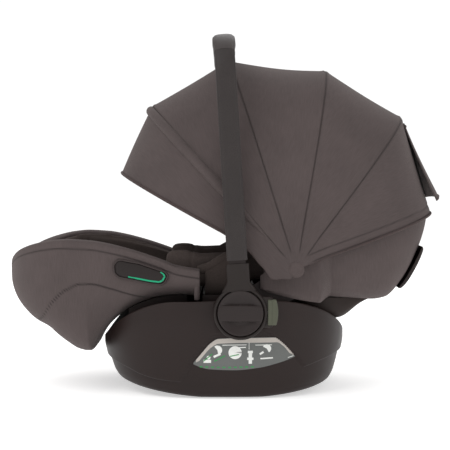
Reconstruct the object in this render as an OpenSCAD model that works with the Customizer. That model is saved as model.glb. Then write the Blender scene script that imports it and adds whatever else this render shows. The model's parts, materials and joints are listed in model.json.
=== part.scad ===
// Infant car seat: rocker base, lie-flat seat, folding canopy and a carry handle.
// X runs towards the head end, Y across the seat and Z up. The origin is on the floor,
// under the middle of the seat, where the rocker's flat rests.

/* [Overall] */
// Width across the two handle hubs
seat_w = 440; // [400:5:480]
// Length of the base shell along its rim
base_len = 404; // [380:2:430]
// Width of the base shell
base_w = 380; // [370:2:392]
// Height of the base rim beside the hubs
rim_h = 158; // [150:1:162]
// Width of the seat shells under the canopy
tub_w = 326; // [300:2:330]
// Width of the leg section
leg_w = 344; // [320:2:360]

/* [Handle] */
// Reach of the handle's top from the hub axis
handle_reach = 439; // [435:1:460]
// Lean of the carry handle towards the foot end, in degrees
handle_lean = 3.5; // [0:0.5:8]
// Width of a handle arm, seen from the side
arm_w = 32; // [26:1:38]
// Thickness of a handle arm
arm_t = 12; // [10:0.5:13]
// Thickness of the grip bar
grip_t = 20; // [16:1:20]
// Diameter of the hub ring
hub_d = 84; // [76:1:90]
// Travel of a handle release button
button_travel = 3; // [2:0.5:4]

/* [Shells] */
// Wall of the base shell
base_t = 4; // [3:0.5:5]
// Wall of the plastic seat shells
shell_t = 2.5; // [2:0.5:3]
// Thickness of the outer fabric
fabric_t = 2.4; // [1.5:0.1:3]
// Thickness of the padded liners
liner_t = 10; // [6:1:14]
// Running gap between the leg section and the base rim
rim_gap = 4; // [3:0.5:6]

/* [Canopy] */
// Height of the canopy pivot above the floor
pivot_z = 208; // [200:1:216]
// Distance of the canopy pivot behind the hub
pivot_back = 88; // [80:1:96]
// Thickness of a canopy bow
bow_t = 2.6; // [2:0.1:3]
// Width of a canopy bow
bow_w = 10; // [6:1:12]
// Sideways step from one bow's eyelet to the next
bow_step = 4.5; // [4:0.1:4.6]

/* [Fittings] */
// Diameter of the pins that the handle and the seat turn on
pin_d = 16; // [12:1:20]
// Diameter of the canopy pivot pins
pivot_d = 8; // [6:1:10]
// Diameter of the steel anchor bars under the base
bar_d = 12; // [8:1:14]
// Width of the harness webbing
web_w = 38; // [30:1:42]
// Thickness of the harness webbing
web_t = 2; // [1.5:0.1:3]
// Running clearance round pins and between stacked parts
fit = 0.3; // [0.2:0.05:0.4]

/* [Hidden] */
$fn = 64;

fabric = "#54494a";
lining = "#3b302d";
plastic = "#2f2725";
steel = "#8d9196";
green = "#5c6752";

hub_x = 24;
hub_z = 142;
hub_y = seat_w / 2;
pivot_x = hub_x + pivot_back;
arc_x = -74;            // centre of the front rim's arc, on the floor line
rim_r = rim_h - 3;      // radius of that arc
base_x = -2;
base_half = base_len / 2;
leg_low_r = rim_r + rim_gap;
leg_end = -40;
leg_tip = -362.3;
back_start = 62;
back_end = 340;
pan_floor = 146;
plate_y = tub_w / 2 - 1.8;  // the side plates lie on the cover, below its widest line

// ---- curves and surfaces ----

function mix(a, b, t) = a + (b - a) * t;
function ease(t) = t * t * (3 - 2 * t);
// height of a superellipse of power n at the share t of its half length
function arch(t, n) = pow(max(0, 1 - pow(abs(t), n)), 1 / n);

// closed solid between two grids of points that share their outline's order
module skin(outer, inner) {
  n = len(outer);
  m = len(outer[0]);
  function id(s, i, j) = (s * n + i) * m + j;
  polyhedron(
    points = concat([for (row = outer) each row], [for (row = inner) each row]),
    faces = concat(
      [for (i = [0:n - 2], j = [0:m - 2])
        each [[id(0, i, j), id(0, i + 1, j), id(0, i + 1, j + 1)],
              [id(0, i, j), id(0, i + 1, j + 1), id(0, i, j + 1)]]],
      [for (i = [0:n - 2], j = [0:m - 2])
        each [[id(1, i, j), id(1, i + 1, j + 1), id(1, i + 1, j)],
              [id(1, i, j), id(1, i, j + 1), id(1, i + 1, j + 1)]]],
      [for (j = [0:m - 2])
        each [[id(0, 0, j), id(0, 0, j + 1), id(1, 0, j + 1)],
              [id(0, 0, j), id(1, 0, j + 1), id(1, 0, j)],
              [id(0, n - 1, j + 1), id(0, n - 1, j), id(1, n - 1, j)],
              [id(0, n - 1, j + 1), id(1, n - 1, j), id(1, n - 1, j + 1)]]],
      [for (i = [0:n - 2])
        each [[id(0, i + 1, 0), id(0, i, 0), id(1, i, 0)],
              [id(0, i + 1, 0), id(1, i, 0), id(1, i + 1, 0)],
              [id(0, i, m - 1), id(0, i + 1, m - 1), id(1, i + 1, m - 1)],
              [id(0, i, m - 1), id(1, i + 1, m - 1), id(1, i, m - 1)]]]));
}

// closed solid through a stack of rings, with a pole point at each end
module stack(rings, first, last) {
  n = len(rings);
  m = len(rings[0]);
  function id(i, j) = i * m + j % m;
  polyhedron(
    points = concat([for (ring = rings) each ring], [first, last]),
    faces = concat(
      [for (i = [0:n - 2], j = [0:m - 1])
        each [[id(i, j), id(i + 1, j), id(i + 1, j + 1)],
              [id(i, j), id(i + 1, j + 1), id(i, j + 1)]]],
      [for (j = [0:m - 1]) [n * m, id(0, j), id(0, j + 1)]],
      [for (j = [0:m - 1]) [n * m + 1, id(n - 1, j + 1), id(n - 1, j)]]));
}

// one U-shaped section of a seat shell, from its left top edge to its right
function section(x, half, top, low) =
  [for (k = [-6:6]) let (a = 15 * k)
    [x, sign(a) * half * sqrt(abs(sin(a))), top - (top - low) * sqrt(cos(a))]];

module both() {
  children();
  mirror([0, 1, 0]) children();
}

// a side view drawn in X and Z, given thickness from y0 to y1
module side(y0, y1) {
  translate([0, y1, 0]) rotate([90, 0, 0]) linear_extrude(y1 - y0) children();
}

module pin(x, z, r, y0, y1) {
  translate([x, y1, z]) rotate([90, 0, 0]) cylinder(r = r, h = y1 - y0);
}

module block(x0, x1, y0, y1, z0, z1) {
  translate([x0, y0, z0]) cube([x1 - x0, y1 - y0, z1 - z0]);
}

// outline of a strap of thickness t whose lower face follows a path
function ribbon(path, t) =
  let (n = len(path),
       normal = [for (i = [0:n - 1])
         let (d = path[min(i + 1, n - 1)] - path[max(i - 1, 0)]) [-d[1], d[0]] / norm(d)])
  concat(path, [for (i = [n - 1:-1:0]) path[i] + t * normal[i]]);

// ---- base ----

function plan_x(a, s) = base_x + base_half * s * sign(cos(a)) * pow(abs(cos(a)), 0.714);
function plan_y(a, s) = base_w / 2 * s * sign(sin(a)) * pow(abs(sin(a)), 0.714);
function rocker(x) = -1.5 + 0.00062 * pow(x - 11, 2);
function rim(x) =
  x < arc_x ? sqrt(max(pow(rim_r, 2) - pow(x - arc_x, 2), 4900)) :
  x < hub_x ? mix(rim_r, rim_h, (x - arc_x) / (hub_x - arc_x)) :
  90 + (rim_h - 90) * pow(1 - pow(min(1, (x - hub_x) / (base_half + base_x - hub_x)), 3.2), 0.625);

// ring at share s of the plan, rise up the wall from the rocker to the rim, plus a lift
function base_ring(s, rise, lift) =
  [for (j = [0:27]) let (a = j * 360 / 28, x = plan_x(a, s))
    [x, plan_y(a, s), mix(rocker(x), rim(plan_x(a, 1)), rise) + lift]];

module base_wall() {
  wall = base_t / base_half;
  stack(
    [base_ring(0.4, 0, 0), base_ring(0.78, 0, 0), base_ring(0.88, 0.05, 2),
     base_ring(0.945, 0.28, 0), base_ring(0.982, 0.58, 0), base_ring(1, 0.86, 0),
     base_ring(1, 1, 0), base_ring(1 - 1.4 * wall, 1, 0), base_ring(0.98 - 1.6 * wall, 0.6, 0),
     base_ring(0.94 - 1.6 * wall, 0.3, 3), base_ring(0.86 - wall, 0.06, 6),
     base_ring(0.76, 0, base_t + 1), base_ring(0.4, 0, base_t + 1)],
    [base_x, 0, rocker(base_x)], [base_x, 0, rocker(base_x) + base_t + 1]);
}

bar_x = [-104, 118];
bar_z = 28;
bar_half = 88;
post_at = [[-22, 112], [36, 112]];
socket_y = 152;
socket_w = 34;
socket_d = 16;
socket_h = 62;
socket_foot = 21;
ear_r = 38;
ear_in = tub_w / 2 + 6.5;
ear_out = seat_w / 2 - 18;
rib_y = 108;
rib_t = 8;

module base_shell() color(plastic) difference() {
  union() {
    base_wall();
    both() {
      pin(hub_x, hub_z, ear_r, ear_in, ear_out);
      side(rib_y, rib_y + rib_t) intersection() {
        translate([arc_x, 0]) circle(r = rim_r - 5 - fit);
        translate([-164, 6]) square([104, 160]);
      }
      for (p = post_at) translate([p[0], p[1], 3]) cylinder(d = 18, h = pan_floor - 6);
      block(hub_x - socket_w / 2 - 5, hub_x + socket_w / 2 + 5,
            socket_y - socket_d / 2 - 5, socket_y + socket_d / 2 + 5, 2, socket_foot);
    }
    for (x = bar_x) block(x - 24, x + 24, -bar_half - 10, bar_half + 10, 13, bar_z + 20);
  }
  translate([0, 0, -20]) linear_extrude(20) square([600, 600], center = true);
  both() {
    pin(hub_x, hub_z, pin_d / 2 + fit / 2, ear_in - 10, ear_out + 10);
    for (p = post_at) translate([p[0], p[1], pan_floor - 30]) cylinder(d = 4, h = 40);
    block(hub_x - socket_w / 2 + 3, hub_x + socket_w / 2 - 3,
          socket_y - socket_d / 2 + 3, socket_y + socket_d / 2 - 3, -5, socket_foot + 5);
  }
  for (x = bar_x) {
    block(x - 20, x + 20, -bar_half, bar_half, -5, bar_z + 16);
    pin(x, bar_z, bar_d / 2, -bar_half - 8, bar_half + 8);
  }
}

module anchor_bars() color(steel)
  for (x = bar_x) pin(x, bar_z, bar_d / 2, -bar_half - 8, bar_half + 8);

module adapter_sockets() color(plastic) both() difference() {
  block(hub_x - socket_w / 2, hub_x + socket_w / 2, socket_y - socket_d / 2,
        socket_y + socket_d / 2, socket_foot, socket_foot + socket_h);
  block(hub_x - socket_w / 2 + 3, hub_x + socket_w / 2 - 3, socket_y - socket_d / 2 + 3,
        socket_y + socket_d / 2 - 3, socket_foot - 1, socket_foot + socket_h - 3);
}

// half width of the base shell's outer wall at a place along the seat and a height
function wall_y(x, z) =
  let (s = lookup((z - rocker(x)) / (rim(x) - rocker(x)), [[0.28, 0.945], [0.58, 0.982], [0.86, 1]]))
  base_w / 2 * s * arch((x - base_x) / (base_half * s), 2.8);

// rating plate's outline: its lower and upper edge along the seat
label_low = [[-50, 57], [-24, 49], [15, 48], [52, 52], [91, 60], [113, 68]];
label_top = [[-50, 59], [-20, 92], [-6, 98], [84, 100], [94, 94], [113, 70]];
function label_rows(off) =
  [for (x = [-50, -38, -20, -6, 15, 45, 70, 84, 94, 113])
    [for (k = [0:3]) let (z = mix(lookup(x, label_low), lookup(x, label_top), k / 3))
      [x, wall_y(x, z) + off, z]]];
module label_plates() color("#5a5a58") both() skin(label_rows(0.7), label_rows(2.2));

pan_x0 = -36;
pan_x1 = 50;
pan_half = 150;

module seat_pan() color(plastic) difference() {
  block(pan_x0, pan_x1, -pan_half, pan_half, pan_floor - 3, pan_floor + 18);
  block(pan_x0 + 3, pan_x1 - 3, -pan_half + 3, pan_half - 3, pan_floor, pan_floor + 30);
  for (p = post_at, s = [-1, 1])
    translate([p[0], s * p[1], pan_floor - 10]) cylinder(d = 5, h = 20);
}

module pan_screws() color(steel) both() for (p = post_at) translate([p[0], p[1], 0]) {
  translate([0, 0, pan_floor]) cylinder(d = 9, h = 3);
  translate([0, 0, pan_floor - 28]) cylinder(d = 4, h = 29);
}

// the pins that carry the seat's side plates inside the base and the handle outside it
module hub_pins() color(steel) both() {
  pin(hub_x, hub_z, pin_d / 2, plate_y + 0.1, hub_face - 3 - fit);
  pin(hub_x, hub_z, pin_d / 2 + 5, hub_face - 6, hub_face - 3 - fit);
}

mid_top = pan_floor + 6 + liner_t;
mid_x0 = -32;
mid_x1 = 24;
mid_rows = [[mid_x0, 211], [-10, 224], [mid_x1, 238]];

module mid_liner() color(lining) skin(
  [for (r = mid_rows) section(r[0], pan_half - 3 - fit, r[1], pan_floor + fit)],
  [for (r = mid_rows) section(r[0], pan_half - 5 - liner_t, r[1], mid_top)]);

buckle_x0 = -26;
buckle_x1 = 12;
buckle_z = mid_top + 10.3;

module crotch_strap() color("#262223") block(-31, -28, -web_w / 2, web_w / 2, mid_top + 1, buckle_z + 12);

module crotch_pad() color(lining) hull() both() {
  translate([-24, 24, mid_top + 6]) sphere(d = 8, $fn = 16);
  translate([10, 18, mid_top + 6]) sphere(d = 8, $fn = 16);
}

module buckle() color("#1f1c1d") difference() {
  hull() {
    block(buckle_x0, buckle_x1, -20, 20, buckle_z, buckle_z + 10);
    block(buckle_x0 + 3, buckle_x1 - 3, -16, 16, buckle_z, buckle_z + 15);
  }
  block(-19, 3, -11, 11, buckle_z + 8, buckle_z + 30);
}

module buckle_button() color("#9a2620")
  block(-19 + fit, 3 - fit, -11 + fit, 11 - fit, buckle_z + 12, buckle_z + 17);

module buckle_tongues() color(steel) both()
  block(buckle_x1 + fit, buckle_x1 + 12, 4, 16, buckle_z + 2, buckle_z + 5);

module hip_straps() color("#262223") both()
  translate([0, 10, 0]) multmatrix([[1, 0, 0, 0], [1.1, 1, 0, -1.1 * (buckle_x1 + 12)], [0, 0, 1, 0]])
    block(buckle_x1 + 12 + fit, 40, -7, 12, buckle_z + 2, buckle_z + 2 + web_t);

// ---- handle ----

core_gap = fit;
corner_r = 76;
sleeve_top = 82;
sleeve_low = 26;
grip_from = handle_reach - 26;

// front view of the handle from its inner to its outer line, both inset by d
module handle_band(d, low) {
  difference() {
    hull() {
      for (s = [-1, 1]) translate([s * (hub_y - 4 - corner_r), handle_reach - corner_r])
        circle(r = corner_r - d);
      translate([-(hub_y - 4 - d), low]) square([2 * (hub_y - 4 - d), 1]);
    }
    hull() {
      for (s = [-1, 1]) translate([s * (hub_y - 4 - corner_r), handle_reach - grip_t - corner_r + arm_t])
        circle(r = corner_r - arm_t + d);
      translate([-(hub_y - 4 - arm_t + d), low - 1]) square([2 * (hub_y - 4 - arm_t + d), 1]);
    }
  }
}

// puts a front view on the hub axis at the handle's lean, as wide as w along the seat
module on_handle(w) {
  translate([hub_x, 0, hub_z]) rotate([0, -handle_lean, 0]) rotate([90, 0, 90])
    linear_extrude(w, center = true) children();
}

module hub_bite() {
  for (s = [-1, 1]) pin(hub_x, hub_z, hub_d / 2 + fit, s * hub_y - 40, s * hub_y + 40);
}

module handle_core() color("#3a3536") difference() {
  on_handle(arm_w - 6) handle_band(3, sleeve_low);
  hub_bite();
}

module arm_covers() color("#4a4142") difference() {
  on_handle(arm_w) intersection() {
    handle_band(0, sleeve_low);
    translate([-300, sleeve_top + fit]) square([600, grip_from - sleeve_top - 2 * fit]);
  }
  on_handle(arm_w - 6 + 2 * core_gap) handle_band(3 - core_gap, 20);
}

module grip_cover() color("#453c3d") difference() {
  on_handle(arm_w + 4) intersection() {
    handle_band(0, sleeve_low);
    translate([-300, grip_from]) square([600, 60]);
  }
  on_handle(arm_w - 6 + 2 * core_gap) handle_band(3 - core_gap, 20);
}

module arm_sleeves() color(plastic) difference() {
  on_handle(arm_w + 3) intersection() {
    handle_band(0, sleeve_low);
    translate([-300, sleeve_low]) square([600, sleeve_top - sleeve_low]);
  }
  hub_bite();
  on_handle(arm_w - 6 + 2 * core_gap) handle_band(3 - core_gap, 20);
}

button_z0 = 123;
button_z1 = 163;
button_x1 = 83;
hub_in = ear_out + 1;
hub_face = hub_y - 4;
spring_d = 8;

module hub_housings() color(plastic) both() difference() {
  union() {
    pin(hub_x, hub_z, hub_d / 2, hub_in, hub_face);
    block(hub_x + 20, button_x1 - 6, hub_in, hub_face - 2, button_z0 - 5, button_z1 + 5);
  }
  pin(hub_x, hub_z, pin_d / 2 + fit / 2, hub_in - 1, hub_face + 1);
  pin(hub_x, hub_z, hub_d / 2 - 6, hub_face - 6, hub_face + 1);
  block(58, button_x1 + 1, hub_in + 2, hub_face - 3, button_z0 - fit, button_z1 + fit);
  block(button_x1 - 14 - button_travel, button_x1 + 1, hub_in + 1, hub_face + 1,
        button_z0 - fit, button_z1 + fit);
}

module hub_discs() color("#352c2c") both() {
  difference() {
    pin(hub_x, hub_z, hub_d / 2 - 6 - fit, hub_face - 3, hub_y);
    pin(hub_x, hub_z, hub_d / 2 - 10, hub_y - 2, hub_y + 1);
  }
  block(hub_x - 30, hub_x + 30, hub_y - 2, hub_y, hub_z - 13, hub_z + 13);
}

module release_button(s) color(green) mirror([0, s < 0 ? 1 : 0, 0]) difference() {
  union() {
    block(button_x1 - 14 + fit, button_x1, hub_in + 2 + fit, hub_face - 1, button_z0, button_z1);
    block(66, button_x1 - 10, hub_in + 2 + fit, hub_face - 3 - fit, button_z0, button_z1);
  }
  translate([60, (hub_in + hub_face) / 2 - 0.5, hub_z]) rotate([0, 90, 0])
    cylinder(d = spring_d + 1, h = 14);
}

// coil spring of a release button, wound round the button's own axis
spring_wire = 1.2;
spring_turns = 4;
spring_x0 = 58 + 0.7;
spring_x1 = 74 - 0.9;
module button_springs() color(steel) both() {
  n = spring_turns * 10;
  ring = [for (i = [0:n]) let (t = i / n, a = 360 * spring_turns * t, r = spring_d / 2 - spring_wire / 2)
    [for (j = [0:5]) let (b = 60 * j, q = r + spring_wire / 2 * cos(b))
      [mix(spring_x0, spring_x1, t) + spring_wire / 2 * sin(b),
       (hub_in + hub_face) / 2 - 0.5 + q * cos(a), hub_z + q * sin(a)]]];
  stack(ring, (ring[0][0] + ring[0][3]) / 2, (ring[n][0] + ring[n][3]) / 2);
}

// ---- leg section ----

leg_xs = [leg_tip, -356, -342, -322, -298, -272, -248, -230, -218, -210, -197, -175, -157,
          -138, -117, -95, -70, -40];
leg_tops = [[-364, 200], [-352, 222], [-335, 235], [-310, 244], [-280, 250], [-254, 252],
            [-215, 250], [-190, 246], [-150, 236], [-107, 222], [-75, 210], [-48, 205]];
leg_lows = [[-364, 185], [-356, 165], [-345, 146], [-330, 129], [-312, 114], [-289, 102],
            [-273, 88], [-257, 76], [-241, 66], [-230, 63]];
leg_floors = [[-342, 197], [-322, 185], [-298, 176], [-260, 168], [-218, 163], [-175, 163],
              [-140, 166], [-95, 169], [-40, 169]];

function leg_half(x) = leg_w / 2 * (x < -230 ? arch((x + 230) / (leg_tip - 1 + 230), 2.3) : 1);
function leg_low(x) = max(lookup(x, leg_lows),
  abs(x - arc_x) < leg_low_r ? sqrt(pow(leg_low_r, 2) - pow(x - arc_x, 2)) : 0);

// share of an inset that also moves a section away from the foot end
function toe(x) = max(0, (-230 - x) / (-230 - leg_tip));

// the leg section's outer surface, moved in by d
function leg_rows(d, from = 0) =
  [for (i = [from:len(leg_xs) - 1]) let (x = leg_xs[i])
    section(x + d * toe(x), leg_half(x) - d, lookup(x, leg_tops), leg_low(x) + d)];

// the leg section's sleeping surface, raised by d with its top edge raised by e
function leg_bed(d, e) =
  [for (i = [2:len(leg_xs) - 1]) let (x = leg_xs[i])
    section(x + (26 + d) * toe(x), leg_half(x) - 26 - d, lookup(x, leg_tops) + e,
            lookup(x, leg_floors) + d)];

shell_in = fabric_t + 0.5;
foam_in = shell_in + shell_t + 0.5;

module leg_cover() color(fabric) skin(leg_rows(0), leg_rows(fabric_t));
module leg_shell() color(plastic)
  skin(leg_rows(shell_in), leg_rows(shell_in + shell_t));
module leg_foam() color("#cfcac4") skin(leg_rows(foam_in, 2), leg_bed(0, 0));
module leg_liner() color(lining) skin(leg_bed(0.5, 2), leg_bed(0.5 + liner_t, 2));

runner_rise = 1.7;      // how far the rounded belly of the cover rises at the runners
module leg_runners() color(plastic) both() side(rib_y, rib_y + rib_t) difference() {
  intersection() {
    translate([arc_x, 0]) circle(r = leg_low_r + runner_rise);
    translate([-157, 90]) square([95, 80]);
  }
  translate([arc_x, 0]) circle(r = rim_r - 5);
}

pod_y = leg_w / 2 - 0.8;
pod = [[-178, 214], [-172, 222], [-165, 224], [-135, 218.5], [-104, 208], [-93, 204],
       [-88, 197], [-93, 186], [-100, 181], [-118, 183], [-142, 188], [-168, 193], [-176, 200]];

module guide_pods() color(plastic) both() difference() {
  side(pod_y, pod_y + 6) polygon(pod);
  side(pod_y + 2, pod_y + 7) offset(delta = -3) polygon(pod);
}

module guide_inlays() color("#1f9a70") both()
  side(pod_y + 2, pod_y + 3) polygon([[-104, 203], [-97, 200], [-96, 191], [-103, 186], [-124, 189],
                                      [-124, 191], [-106, 189], [-101, 193], [-101, 198]]);

module guide_door(s) color("#332a28") mirror([0, s < 0 ? 1 : 0, 0])
  side(pod_y + 3 + fit, pod_y + 6) offset(delta = -3.4) polygon(pod);

adj_x = -92;
adj_z = lookup(-95, leg_floors) + liner_t + 1;
module adjuster_housing() color(plastic) difference() {
  block(adj_x - 16, adj_x + 16, -20, 20, adj_z, adj_z + 9);
  block(adj_x - 11, adj_x + 11, -13, 13, adj_z + 3, adj_z + 12);
}
module adjuster_button() color("#4a4a4c")
  block(adj_x - 11 + fit, adj_x + 11 - fit, -13 + fit, 13 - fit, adj_z + 5.5, adj_z + 11);
module adjuster_strap() color("#262223") side(-web_w / 2 + 4, web_w / 2 - 4)
  polygon(ribbon([[-176, adj_z - 1], [-150, adj_z - 1], [adj_x - 16 - fit, adj_z + 1]], web_t));

// ---- backrest ----

back_xs = [62, 85, 110, 140, 175, 215, 245, 265, 280, 300, 316, 330, 340];
back_tops = [[62, 220], [90, 250], [130, 278], [180, 297], [240, 306], [300, 304], [340, 298]];
back_lows = [[62, 174], [113, 161], [165, 152], [205, 150], [245, 148], [265, 151], [290, 175],
             [324, 236], [340, 280]];
back_floors = [[62, 184], [100, 178], [265, 178], [280, 181], [300, 206], [316, 240]];

function back_half(x) = tub_w / 2 * (x > 170 ? arch((x - 170) / (back_end + 2 - 170), 2.4) : 1);
// share of an inset that also moves a section away from the head end
function heel(x) = max(0, (x - 250) / (back_end - 250));
function back_rows(d, to = 12) =
  [for (i = [0:to]) let (x = back_xs[i])
    section(x - d * heel(x), back_half(x) - d, lookup(x, back_tops),
            lookup(x, back_lows) + d)];
function back_bed(d, e) =
  [for (i = [0:10]) let (x = back_xs[i])
    section(x - (26 + d) * heel(x), back_half(x) - 26 - d, lookup(x, back_tops) + e,
            lookup(x, back_floors) + d)];

module back_cover() color(fabric) skin(back_rows(0), back_rows(fabric_t));
module back_shell() color(plastic)
  skin(back_rows(shell_in), back_rows(shell_in + shell_t));
module back_foam() color("#cfcac4") skin(back_rows(foam_in, 10), back_bed(0, 0));
module back_liner() color(lining) skin(back_bed(0.5, 2), back_bed(0.5 + liner_t, 2));

module side_plates() color(steel) both() difference() {
  side(plate_y, plate_y + 4) hull() {
    translate([hub_x, hub_z]) circle(r = 20);
    translate([pivot_x, pivot_z]) circle(r = 16);
    translate([pivot_x + 30, pivot_z - 26]) circle(r = 8);
  }
  pin(hub_x, hub_z, pin_d / 2 + fit / 2, plate_y - 1, plate_y + 5);
  pin(pivot_x, pivot_z, pivot_d / 2 + 0.1, plate_y - 1, plate_y + 5);
}

// ---- headrest and harness ----

rest_low = lookup(200, back_floors) + liner_t + 1;
rest_rows = [[158, 0.96], [172, 1], [212, 1], [228, 0.95]];
module headrest_shell() color(plastic) skin(
  [for (r = rest_rows) section(r[0], 94 * r[1], 262, rest_low)],
  [for (r = rest_rows) section(r[0], 94 * r[1] - 4, 262, rest_low + 4)]);
module headrest_pad() color(lining) skin(
  [for (r = rest_rows) section(r[0] + 2, 94 * r[1] - 4.9, 264, rest_low + 4.7)],
  [for (r = rest_rows) section(r[0] + 2, 94 * r[1] - 18, 264, rest_low + 16)]);

strap_y = 42;
module shoulder_straps() color("#262223") both() side(strap_y - web_w / 2, strap_y + web_w / 2)
  polygon(ribbon([[46, 205], [70, 203], [110, 200], [159.6, 200]], web_t));
module shoulder_pads() color(lining) both() side(strap_y - web_w / 2 - 5, strap_y + web_w / 2 + 5)
  polygon(ribbon([[60, 206.5], [80, 205], [110, 202.6], [150, 202.6]], 9));

// ---- rear of the backrest ----

// a plate that follows the rear wall, at distances a to b outside it
function rear_line(off) = [for (x = [290, 306, 321]) let (z = lookup(x, back_lows)) [x + off * 0.87, z - off * 0.5]];
module rear_guide() color(plastic) difference() {
  side(-96, 96) polygon(concat(rear_line(0.5), [for (i = [2:-1:0]) rear_line(7)[i]]));
  side(-46, 46) polygon(concat(rear_line(3.2), [for (i = [2:-1:0]) rear_line(9)[i]]));
}
module recline_lever() color("#3f3535") side(-45, 45)
  polygon(concat(rear_line(3.8), [for (i = [2:-1:0]) rear_line(6.6)[i]]));

// ---- canopy ----

// direction from the canopy pivot, reach of the fabric and half width of each bow
hood_rear = [19.7, 251, tub_w / 2 + 7];
rear = [53, 308, tub_w / 2 + 8];
back_bow = [80, 329, tub_w / 2 + 8 + bow_step];
middle = [107.4, 357, tub_w / 2 + 8 + 2 * bow_step];
front = [131.6, 354, tub_w / 2 + 8 + 3 * bow_step];
visor = [151, 325, tub_w / 2 + 8 + 4 * bow_step];
seam = 0.06;
bow_under = fabric_t + 5;
hood_gap = 0.6;

// half loop over the seat: up from a foot, then over in a superellipse
function loop(half, reach, foot, n = 8) =
  let (knee = reach * 0.25,
       right = [for (k = [0:n]) let (b = 90 * k / n)
         [half * pow(cos(b), 0.77), knee + (reach - knee) * pow(sin(b), 0.77)]])
  concat([[-foot[0], foot[1]]], [for (p = right) [-p[0], p[1]]],
         [for (k = [n - 1:-1:0]) right[k]], [foot]);

module in_plane(angle) {
  translate([pivot_x, 0, pivot_z]) rotate([0, 90 - angle, 0]) rotate([90, 0, 90]) children();
}

module bow(b) difference() {
  union() {
    in_plane(b[0]) linear_extrude(bow_w, center = true)
      polygon(concat(loop(b[2], b[1] - bow_under, [b[2], 0]),
        [for (p = loop(b[2] - bow_t, b[1] - bow_under - bow_t, [b[2] - bow_t, 0])) [-p[0], p[1]]]));
    both() pin(pivot_x, pivot_z, 9, b[2] - bow_t + 0.15, b[2] - 0.15);
  }
  pin(pivot_x, pivot_z, pivot_d / 2 + fit / 2, -hub_y, hub_y);
}

// points of the fabric between bows a and b at the share t, inset by d; near the pivot
// the fabric lies outside all the eyelets
hood_foot = 14;
function hood_reach(a, b, t) =
  a[1] * b[1] * sin(b[0] - a[0])
  / (a[1] * sin(t * (b[0] - a[0])) + b[1] * sin((1 - t) * (b[0] - a[0])));
function hood_row(a, b, t, d, sag) =
  let (turn = mix(a[0] + seam, b[0] - seam, t), reach = hood_reach(a, b, t) - sag * sin(180 * t))
  [for (p = loop(mix(a[2], b[2], ease(t)) + hood_gap + fabric_t - d, reach - d,
                 [visor[2] + 1 + fabric_t - d, hood_foot]))
    [pivot_x + p[1] * cos(turn), p[0], pivot_z + p[1] * sin(turn)]];

module hood(a, b, sag, steps = 4) color(fabric) skin(
  [for (i = [0:steps]) hood_row(a, b, i / steps, 0, sag)],
  [for (i = [0:steps]) hood_row(a, b, i / steps, fabric_t, sag)]);

module canopy_pins() color(steel) both() {
  pin(pivot_x, pivot_z, pivot_d / 2, plate_y + 0.1, visor[2] + 3);
  pin(pivot_x, pivot_z, 9, visor[2] + 0.4, visor[2] + 3);
}
module bow_rear() color(plastic) bow(rear);
module bow_back() color(plastic) bow(back_bow);
module bow_middle() color(plastic) bow(middle);
module bow_front() color(plastic) bow(front);
module visor_bow() color(plastic) bow(visor);
module panel_hood_rear() hood(hood_rear, rear, 0);
module panel_fixed() hood(rear, back_bow, 2);
module panel_back() hood(back_bow, middle, 5);
module panel_middle() hood(middle, front, 2);
module panel_visor() hood(front, visor, 0);

// one row of a patch over the middle of the rear hood, lifted off it by d
flap_top = 51;
flap_end = 24;
flap_lift = 19.2;        // how far the lower edge stands off the hood, like an awning
function flap_row(turn, d, half) =
  let (t = (turn - hood_rear[0]) / (rear[0] - hood_rear[0]), reach = hood_reach(hood_rear, rear, t),
       wide = mix(hood_rear[2], rear[2], ease(t)) + hood_gap + fabric_t)
  [for (k = [-5:5]) let (v = half * k / 5, u = reach * mix(0.25, 1, arch(v / wide, 2.6)) + d)
    [pivot_x + u * cos(turn), v, pivot_z + u * sin(turn)]];
function flap_rows(from, to, half0, half1, d0, d1) =
  [for (t = [0:0.25:1]) flap_row(mix(from, to, t), mix(d0, d1, t), mix(half0, half1, t))];
module rear_mesh() color("#1b1817")
  skin(flap_rows(46, 27, 50, 66, 1.4, 1.4), flap_rows(46, 27, 50, 66, 0.4, 0.4));
module rear_flap() color(fabric)
  skin(flap_rows(flap_top, flap_end, 62, 88, 2.9, flap_lift + fabric_t),
    flap_rows(flap_top, flap_end, 62, 88, 0.9, flap_lift));

base_shell();
anchor_bars();
adapter_sockets();
label_plates();
seat_pan();
pan_screws();
hub_pins();
mid_liner();
crotch_strap();
crotch_pad();
buckle();
buckle_button();
buckle_tongues();
hip_straps();
handle_core();
arm_covers();
grip_cover();
arm_sleeves();
hub_housings();
hub_discs();
button_springs();
release_button(-1);  // release_button_left
release_button(1);  // release_button_right
side_plates();
back_shell();
back_cover();
back_foam();
back_liner();
canopy_pins();
bow_rear();
panel_hood_rear();
panel_fixed();
rear_mesh();
rear_flap();
rear_guide();
recline_lever();
headrest_shell();
headrest_pad();
shoulder_straps();
shoulder_pads();
bow_back();
panel_back();
bow_middle();
panel_middle();
bow_front();
visor_bow();
panel_visor();
leg_shell();
leg_cover();
leg_foam();
leg_liner();
leg_runners();
guide_pods();
guide_inlays();
guide_door(-1);  // guide_door_left
guide_door(1);  // guide_door_right
adjuster_housing();
adjuster_button();
adjuster_strap();
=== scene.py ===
import json
import math

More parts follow.
